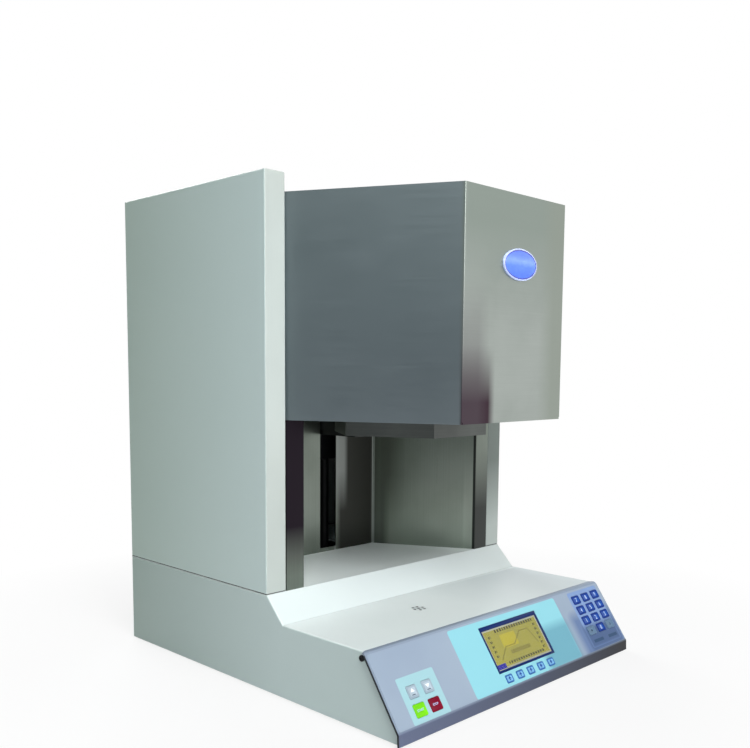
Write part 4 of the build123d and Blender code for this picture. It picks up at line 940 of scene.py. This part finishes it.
def placeKeys():
    caps = {kind: shapeKeyCap(kind, facts) for kind, facts in keyKinds.items()}
    for nodeName, (kind, text) in keyLegends.items():
        words = nodeName.split("_")
        key = copyOf(caps[kind], words[0] + "".join(word.capitalize() for word in words[1:]))
        mergeInto(key, [legendFor(kind, text)])
        settle(key, turn=(panelTurn, 0, 0), move=frontOf(nodeName, keyKinds[kind]["size"][2]))
        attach(key, nodeName + "_cap")
        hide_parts(nodeName)
    for cap in caps.values():
        bpy.data.objects.remove(cap)


# display: navy frame, olive dot screen and a thin clear window

displaySizes = {"frame": (0.115, 0.0575, 0.0104), "side": 0.0028, "top": 0.0050, "sink": 0.0017,
                "cells": (108, 50), "screenThickness": 0.0004, "screenRise": 0.00005,
                "frameRound": 0.0003}


def makeScreenFinish(name, colour, other, glow):
    finish, tree, shader, place = startFinish(name, shine=0.1)
    tone = drift(tree, place, colour, other, scale=26.0, speckle=0.4)
    feed(tree, shader, {"Base Color": tone["Colour"], "Emission Color": tone["Colour"],
                        "Emission Strength": glow, "Roughness": spread(tree, tone["Cloud"], 0.3, 0.4)})
    dots = node(tree, "ShaderNodeTexVoronoi",
                {"Scale": 2100.0, "Randomness": 0.0, "Vector": panelCoords(tree, place)},
                distance="CHEBYCHEV")
    addBump(tree, shader, dots.outputs["Distance"], strength=0.15, distance=0.0001)
    return finish


screenTones = {
    "olive": makeScreenFinish("screenOlive", "#979034", "#8A863C", 0.06),
    "border": makeScreenFinish("screenBorder", "#A3A48E", "#96998A", 0.06),
    "mark": makeScreenFinish("screenMark", "#33321F", "#3D3A22", 0.0),
    "faint": makeScreenFinish("screenFaint", "#6E6628", "#776E2E", 0.0),
    "bright": makeScreenFinish("screenBright", "#ABA022", "#A3982A", 0.08),
    "violet": makeScreenFinish("screenViolet", "#120C86", "#1A1490", 0.04),
}
# marks in screen millimetres from the upper left corner: a schedule curve, scales, readout bars
screenMarks = {
    "border": 2.2,
    "bright": [(28, 10, 58, 27)],
    "violet": [(1.0, 42.5, 17.0, 48.3)],
    "curve": [((16, 38), (32, 25)), ((32, 25), (50, 25)), ((50, 25), (68, 12)), ((68, 12), (84, 12)),
              ((84, 12), (94, 33))],
    "curveHalf": 0.5,
    "curveEnds": 0.4,
    "scales": [(7.0, (9, 15, 21, 27, 33)), (97.0, (10, 16, 22, 28, 34, 40))],
    "scaleHalf": 1.5,
    "scaleLength": 5.5,
    "rows": [(4.0, (22, 100)), (44.0, (24, 98))],
    "rowHalf": 1.6,
    "readout": (30.5, 36.0, (36, 76)),
}


def screenCellTone(across, down, width, height, marks):
    # which tone a cell of the display has: broken bars stand for figures
    edge = marks["border"]
    inside = edge <= across <= width - edge and edge <= down <= height - edge
    tone = "olive" if inside else "border"
    column = int(across)
    for left, top, right, bottom in marks["bright"]:
        if left < across < right and top < down < bottom:
            tone = "bright"
    for (x0, y0), (x1, y1) in marks["curve"]:
        if min(x0, x1) - marks["curveEnds"] < across < max(x0, x1) + marks["curveEnds"]:
            climb = (y1 - y0) / (x1 - x0)
            if abs(down - y0 - climb * (across - x0)) < marks["curveHalf"] * (1 + abs(climb)):
                tone = "faint"
    for start, rows in marks["scales"]:
        for row in rows:
            if (abs(down - row) < marks["scaleHalf"] and 0 < across - start < marks["scaleLength"]
                    and column % 3 != 1):
                tone = "mark"
    for row, (left, right) in marks["rows"]:
        if (abs(down - row) < marks["rowHalf"] and left < across < right
                and (column * 7 + column // 5) % 9 < 5):
            tone = "mark"
    top, bottom, (left, right) = marks["readout"]
    if top < down < bottom and left < across < right and (column * 5 + int(down) * 3) % 7 < 5:
        tone = "faint"
    for left, top, right, bottom in marks["violet"]:
        if left < across < right and top < down < bottom:
            tone = "violet"
    return tone


def makeDisplay(sizes):
    width, height, depth = sizes["frame"]
    side, top = sizes["side"], sizes["top"]
    housing = addBlock("displayFrame", sizes["frame"], (0, 0, -depth / 2))
    wear(housing, navyFrame)
    innerTop = height / 2 - side
    startEdit(housing)
    chooseTop(housing)
    bpy.ops.mesh.inset(thickness=side, depth=0)
    chooseEdges(housing, lambda centre, run: abs(centre.y - innerTop) < nearly and centre.z > -nearly
                and abs(run.x) > width / 2)
    bpy.ops.transform.translate(value=(0, side - top, 0))
    chooseTop(housing)
    bpy.ops.mesh.extrude_region_move(TRANSFORM_OT_translate={"value": (0, 0, -sizes["sink"])})
    endEdit()
    softenEdges(housing, sizes["frameRound"])

    viewWidth = width - 2 * side
    viewHeight = height - side - top
    clearSelection()
    bpy.ops.mesh.primitive_grid_add(x_subdivisions=sizes["cells"][0], y_subdivisions=sizes["cells"][1],
                                    size=1)
    screen = bpy.context.object
    screen.name = "displayScreen"
    screen.scale = (viewWidth, viewHeight, 1)
    bpy.ops.object.transform_apply(location=False, rotation=False, scale=True)
    wear(screen, *screenTones.values())
    startEdit(screen)
    for index, name in enumerate(screenTones):
        chooseFaces(screen, lambda centre, normal: name == screenCellTone(
            (centre.x + viewWidth / 2) * 1000, (viewHeight / 2 - centre.y) * 1000,
            viewWidth * 1000, viewHeight * 1000, screenMarks))
        paintChosen(screen, index)
    endEdit()
    addModifier(screen, "SOLIDIFY", thickness=sizes["screenThickness"], offset=-1)
    shiftMesh(screen, 0, (side - top) / 2, sizes["screenThickness"] - sizes["sink"] + sizes["screenRise"])

    place = frontOf("lcd_module", depth)
    for piece in (housing, screen):
        settle(piece, turn=(panelTurn, 0, 0), move=place)
        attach(piece, "base")
    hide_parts("lcd_module")


def makeClearWindow():
    finish, tree, shader, place = startFinish("clearWindow", shine=0.15)
    tone = useGroup(tree, toneDrift, Vector=place, Base=(0.85, 0.87, 0.84, 1), Drift=(0.8, 0.84, 0.82, 1),
                    Scale=12.0, Speckle=0.1)
    feed(tree, shader, {"Alpha": 0.05, "Base Color": tone["Colour"],
                        "Roughness": spread(tree, tone["Cloud"], 0.03, 0.09)})
    return finish


# lead screw: a thread with two starts between two plain collars, and the motor end below

threadSizes = {"root": 0.0050, "crest": 0.00595, "lead": 0.010, "flank": 0.0007, "land": 0.0014,
               "steps": 24, "shaft": 0.0040, "shaftTop": 0.0385, "collar": 0.0065, "collarFoot": 0.002,
               "topCollar": 0.0115, "collarRound": 0.0006, "collarOverlap": 0.0004, "collarSides": 48,
               "smooth": 30}


def drawLine(name, points):
    # one corner grows into a chain of edges
    clearSelection()
    bpy.ops.mesh.primitive_plane_add(size=1, location=(0, 0, 0))
    line = bpy.context.object
    line.name = name
    startEdit(line, "VERT")
    bpy.ops.mesh.select_all(action="SELECT")
    bpy.ops.mesh.merge(type="CENTER")
    bpy.ops.transform.translate(value=points[0])
    for start, end in zip(points, points[1:]):
        bpy.ops.mesh.extrude_region_move(TRANSFORM_OT_translate={"value": Vector(end) - Vector(start)})
    endEdit()
    return line


def makeLeadScrew(sizes):
    low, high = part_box("lead_screw")
    middle = (low + high) / 2
    root, crest, lead = sizes["root"], sizes["crest"], sizes["lead"]
    land, flank = sizes["land"], sizes["flank"]
    shaftTop = low.z + sizes["shaftTop"]
    collarTop = shaftTop + sizes["collar"]
    threadTop = high.z - sizes["topCollar"]
    points = [(root, 0, 0)]
    for start in (0.0, lead / 2):
        for radius, rise in ((root, land), (crest, land + flank), (crest, 2 * land + flank),
                             (root, 2 * (land + flank)), (root, lead / 2)):
            points.append((radius, 0, start + rise))
    screw = drawLine("threadedScrew", points)
    # two turns too many: both ends are cut off flat further down
    turns = math.ceil((threadTop - collarTop) / lead) + 2
    addModifier(screw, "SCREW", axis="Z", screw_offset=lead, iterations=turns, steps=sizes["steps"],
                render_steps=sizes["steps"], use_merge_vertices=False)
    shiftMesh(screw, 0, 0, collarTop - 1.5 * lead)
    startEdit(screw)
    bpy.ops.mesh.select_all(action="SELECT")
    bpy.ops.mesh.remove_doubles(threshold=nearly)
    overlap = sizes["collarOverlap"]
    for level, above in ((collarTop - overlap, False), (threadTop + overlap, True)):
        bpy.ops.mesh.select_all(action="SELECT")
        bpy.ops.mesh.bisect(plane_co=(0, 0, level), plane_no=(0, 0, 1), use_fill=True,
                            clear_inner=not above, clear_outer=above)
    closeOutwards()
    endEdit(sizes["smooth"])
    wear(screw, groundSteel)
    collars = []
    for name, radius, bottom, top in (
            ("screwFoot", crest, shaftTop - sizes["collarFoot"], collarTop),
            ("screwHead", crest, threadTop, high.z), ("screwShaft", sizes["shaft"], low.z, shaftTop)):
        collar = addDrum(name, radius, top - bottom, sizes["collarSides"], (0, 0, (bottom + top) / 2))
        softenEdges(collar, sizes["collarRound"])
        wear(collar, groundSteel)
        collars.append(collar)
    mergeInto(screw, collars)
    settle(screw, move=(middle.x, middle.y, 0))
    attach(screw, "lift_screw")
    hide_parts("lead_screw")


# rope seal round the hearth: slanted strands over a plain core

ropeSizes = {"strands": 116, "thick": 0.00128, "long": 0.0034, "wide": 1.4, "slant": 32, "core": 0.0011,
             "inset": 0.0008, "steps": 96, "sides": 10, "strandRings": 6, "smooth": 60}


def makeSealRope(sizes):
    low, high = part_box("hearth_seal")
    ring = (high.x - low.x) / 2 - sizes["thick"] - sizes["inset"]
    clearSelection()
    bpy.ops.mesh.primitive_torus_add(major_segments=sizes["steps"], minor_segments=sizes["sides"],
                                     major_radius=ring, minor_radius=sizes["core"], location=(0, 0, 0))
    rope = bpy.context.object
    rope.name = "hearthRope"
    wear(rope, fibreSeal)
    bpy.ops.mesh.primitive_uv_sphere_add(segments=sizes["sides"], ring_count=sizes["strandRings"], radius=1,
                                         location=(0, 0, 0))
    strand = bpy.context.object
    wear(strand, fibreSeal)
    strand.data.transform(Matrix.Diagonal((sizes["thick"] * sizes["wide"], sizes["long"], sizes["thick"], 1)))
    strand.data.transform(Matrix.Rotation(math.radians(sizes["slant"]), 4, "Z"))
    shiftMesh(strand, ring, 0, 0)
    strands = []
    for index in range(sizes["strands"]):
        twin = copyOf(strand, "ropeStrand%d" % index)
        twin.data.transform(Matrix.Rotation(2 * math.pi * index / sizes["strands"], 4, "Z"))
        strands.append(twin)
    bpy.data.objects.remove(strand)
    mergeInto(rope, strands)
    bpy.ops.object.shade_smooth_by_angle(angle=math.radians(sizes["smooth"]))
    settle(rope, move=(low + high) / 2)
    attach(rope, "hearth_lift")
    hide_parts("hearth_seal")


nodeFinishes = {
    baseEnamel: ["base_shell"],
    columnEnamel: ["left_side_column", "right_side_column", "rear_cover", "top_cover"],
    blackEnamel: ["lift_arm", "lift_carriage", "lift_motor"],
    jacketSteel: ["chamber_casing"],
    lidSteel: ["chamber_lid"],
    linerSteel: ["recess_liner"],
    traySteel: ["chamber_floor", "hearth_tray"],
    zincSheet: ["bottom_plate", "lift_frame"],
    groundSteel: ["lead_screw", "fan_guard"],
    darkRods: ["guide_rods"],
    blackScrew: ["case_screws"],
    turnedBrass: ["carriage_bushes", "lead_nut"],
    refractory: ["muffle_wall", "muffle_roof", "hearth_block"],
    quartzTube: ["heating_elements"],
    ceramicSleeve: ["thermocouple"],
    fibreSeal: ["hearth_seal"],
    panelTrayPaint: ["panel_tray"],
    printedShadedFilm: ["panel_overlay"],
    navyFrame: ["lcd_module"],
    makeClearWindow(): ["lcd_window"],
    circuitGreen: ["controller_board"],
    blackPlastic: ["buzzer", "fan_frame", "fan_rotor", "mains_inlet"],
    rockerBlack: ["power_rocker"],
    blackRubber: ["rubber_feet"],
    keyBlue: ["front_badge"],
}
for finish, names in nodeFinishes.items():
    for nodeName in names:
        wear(nodes[nodeName], finish)
print("finishes on", sum(len(names) for names in nodeFinishes.values()), "nodes")

clearSelection()
setUpCamera(viewpoint)
for lampName, facts in studio.items():
    addLamp(lampName, facts)
setUpWorld(airTones)
addFloor(floorSizes)
for flagName, facts in flags.items():
    addFlag(flagName, facts)
bpy.context.scene.view_settings.view_transform = "Standard"
print("studio ready")

makeBadge(badgeSizes)
placeKeys()
makeDisplay(displaySizes)
makeLeadScrew(threadSizes)
makeSealRope(ropeSizes)
print("badge, keys, display, screw and rope made")
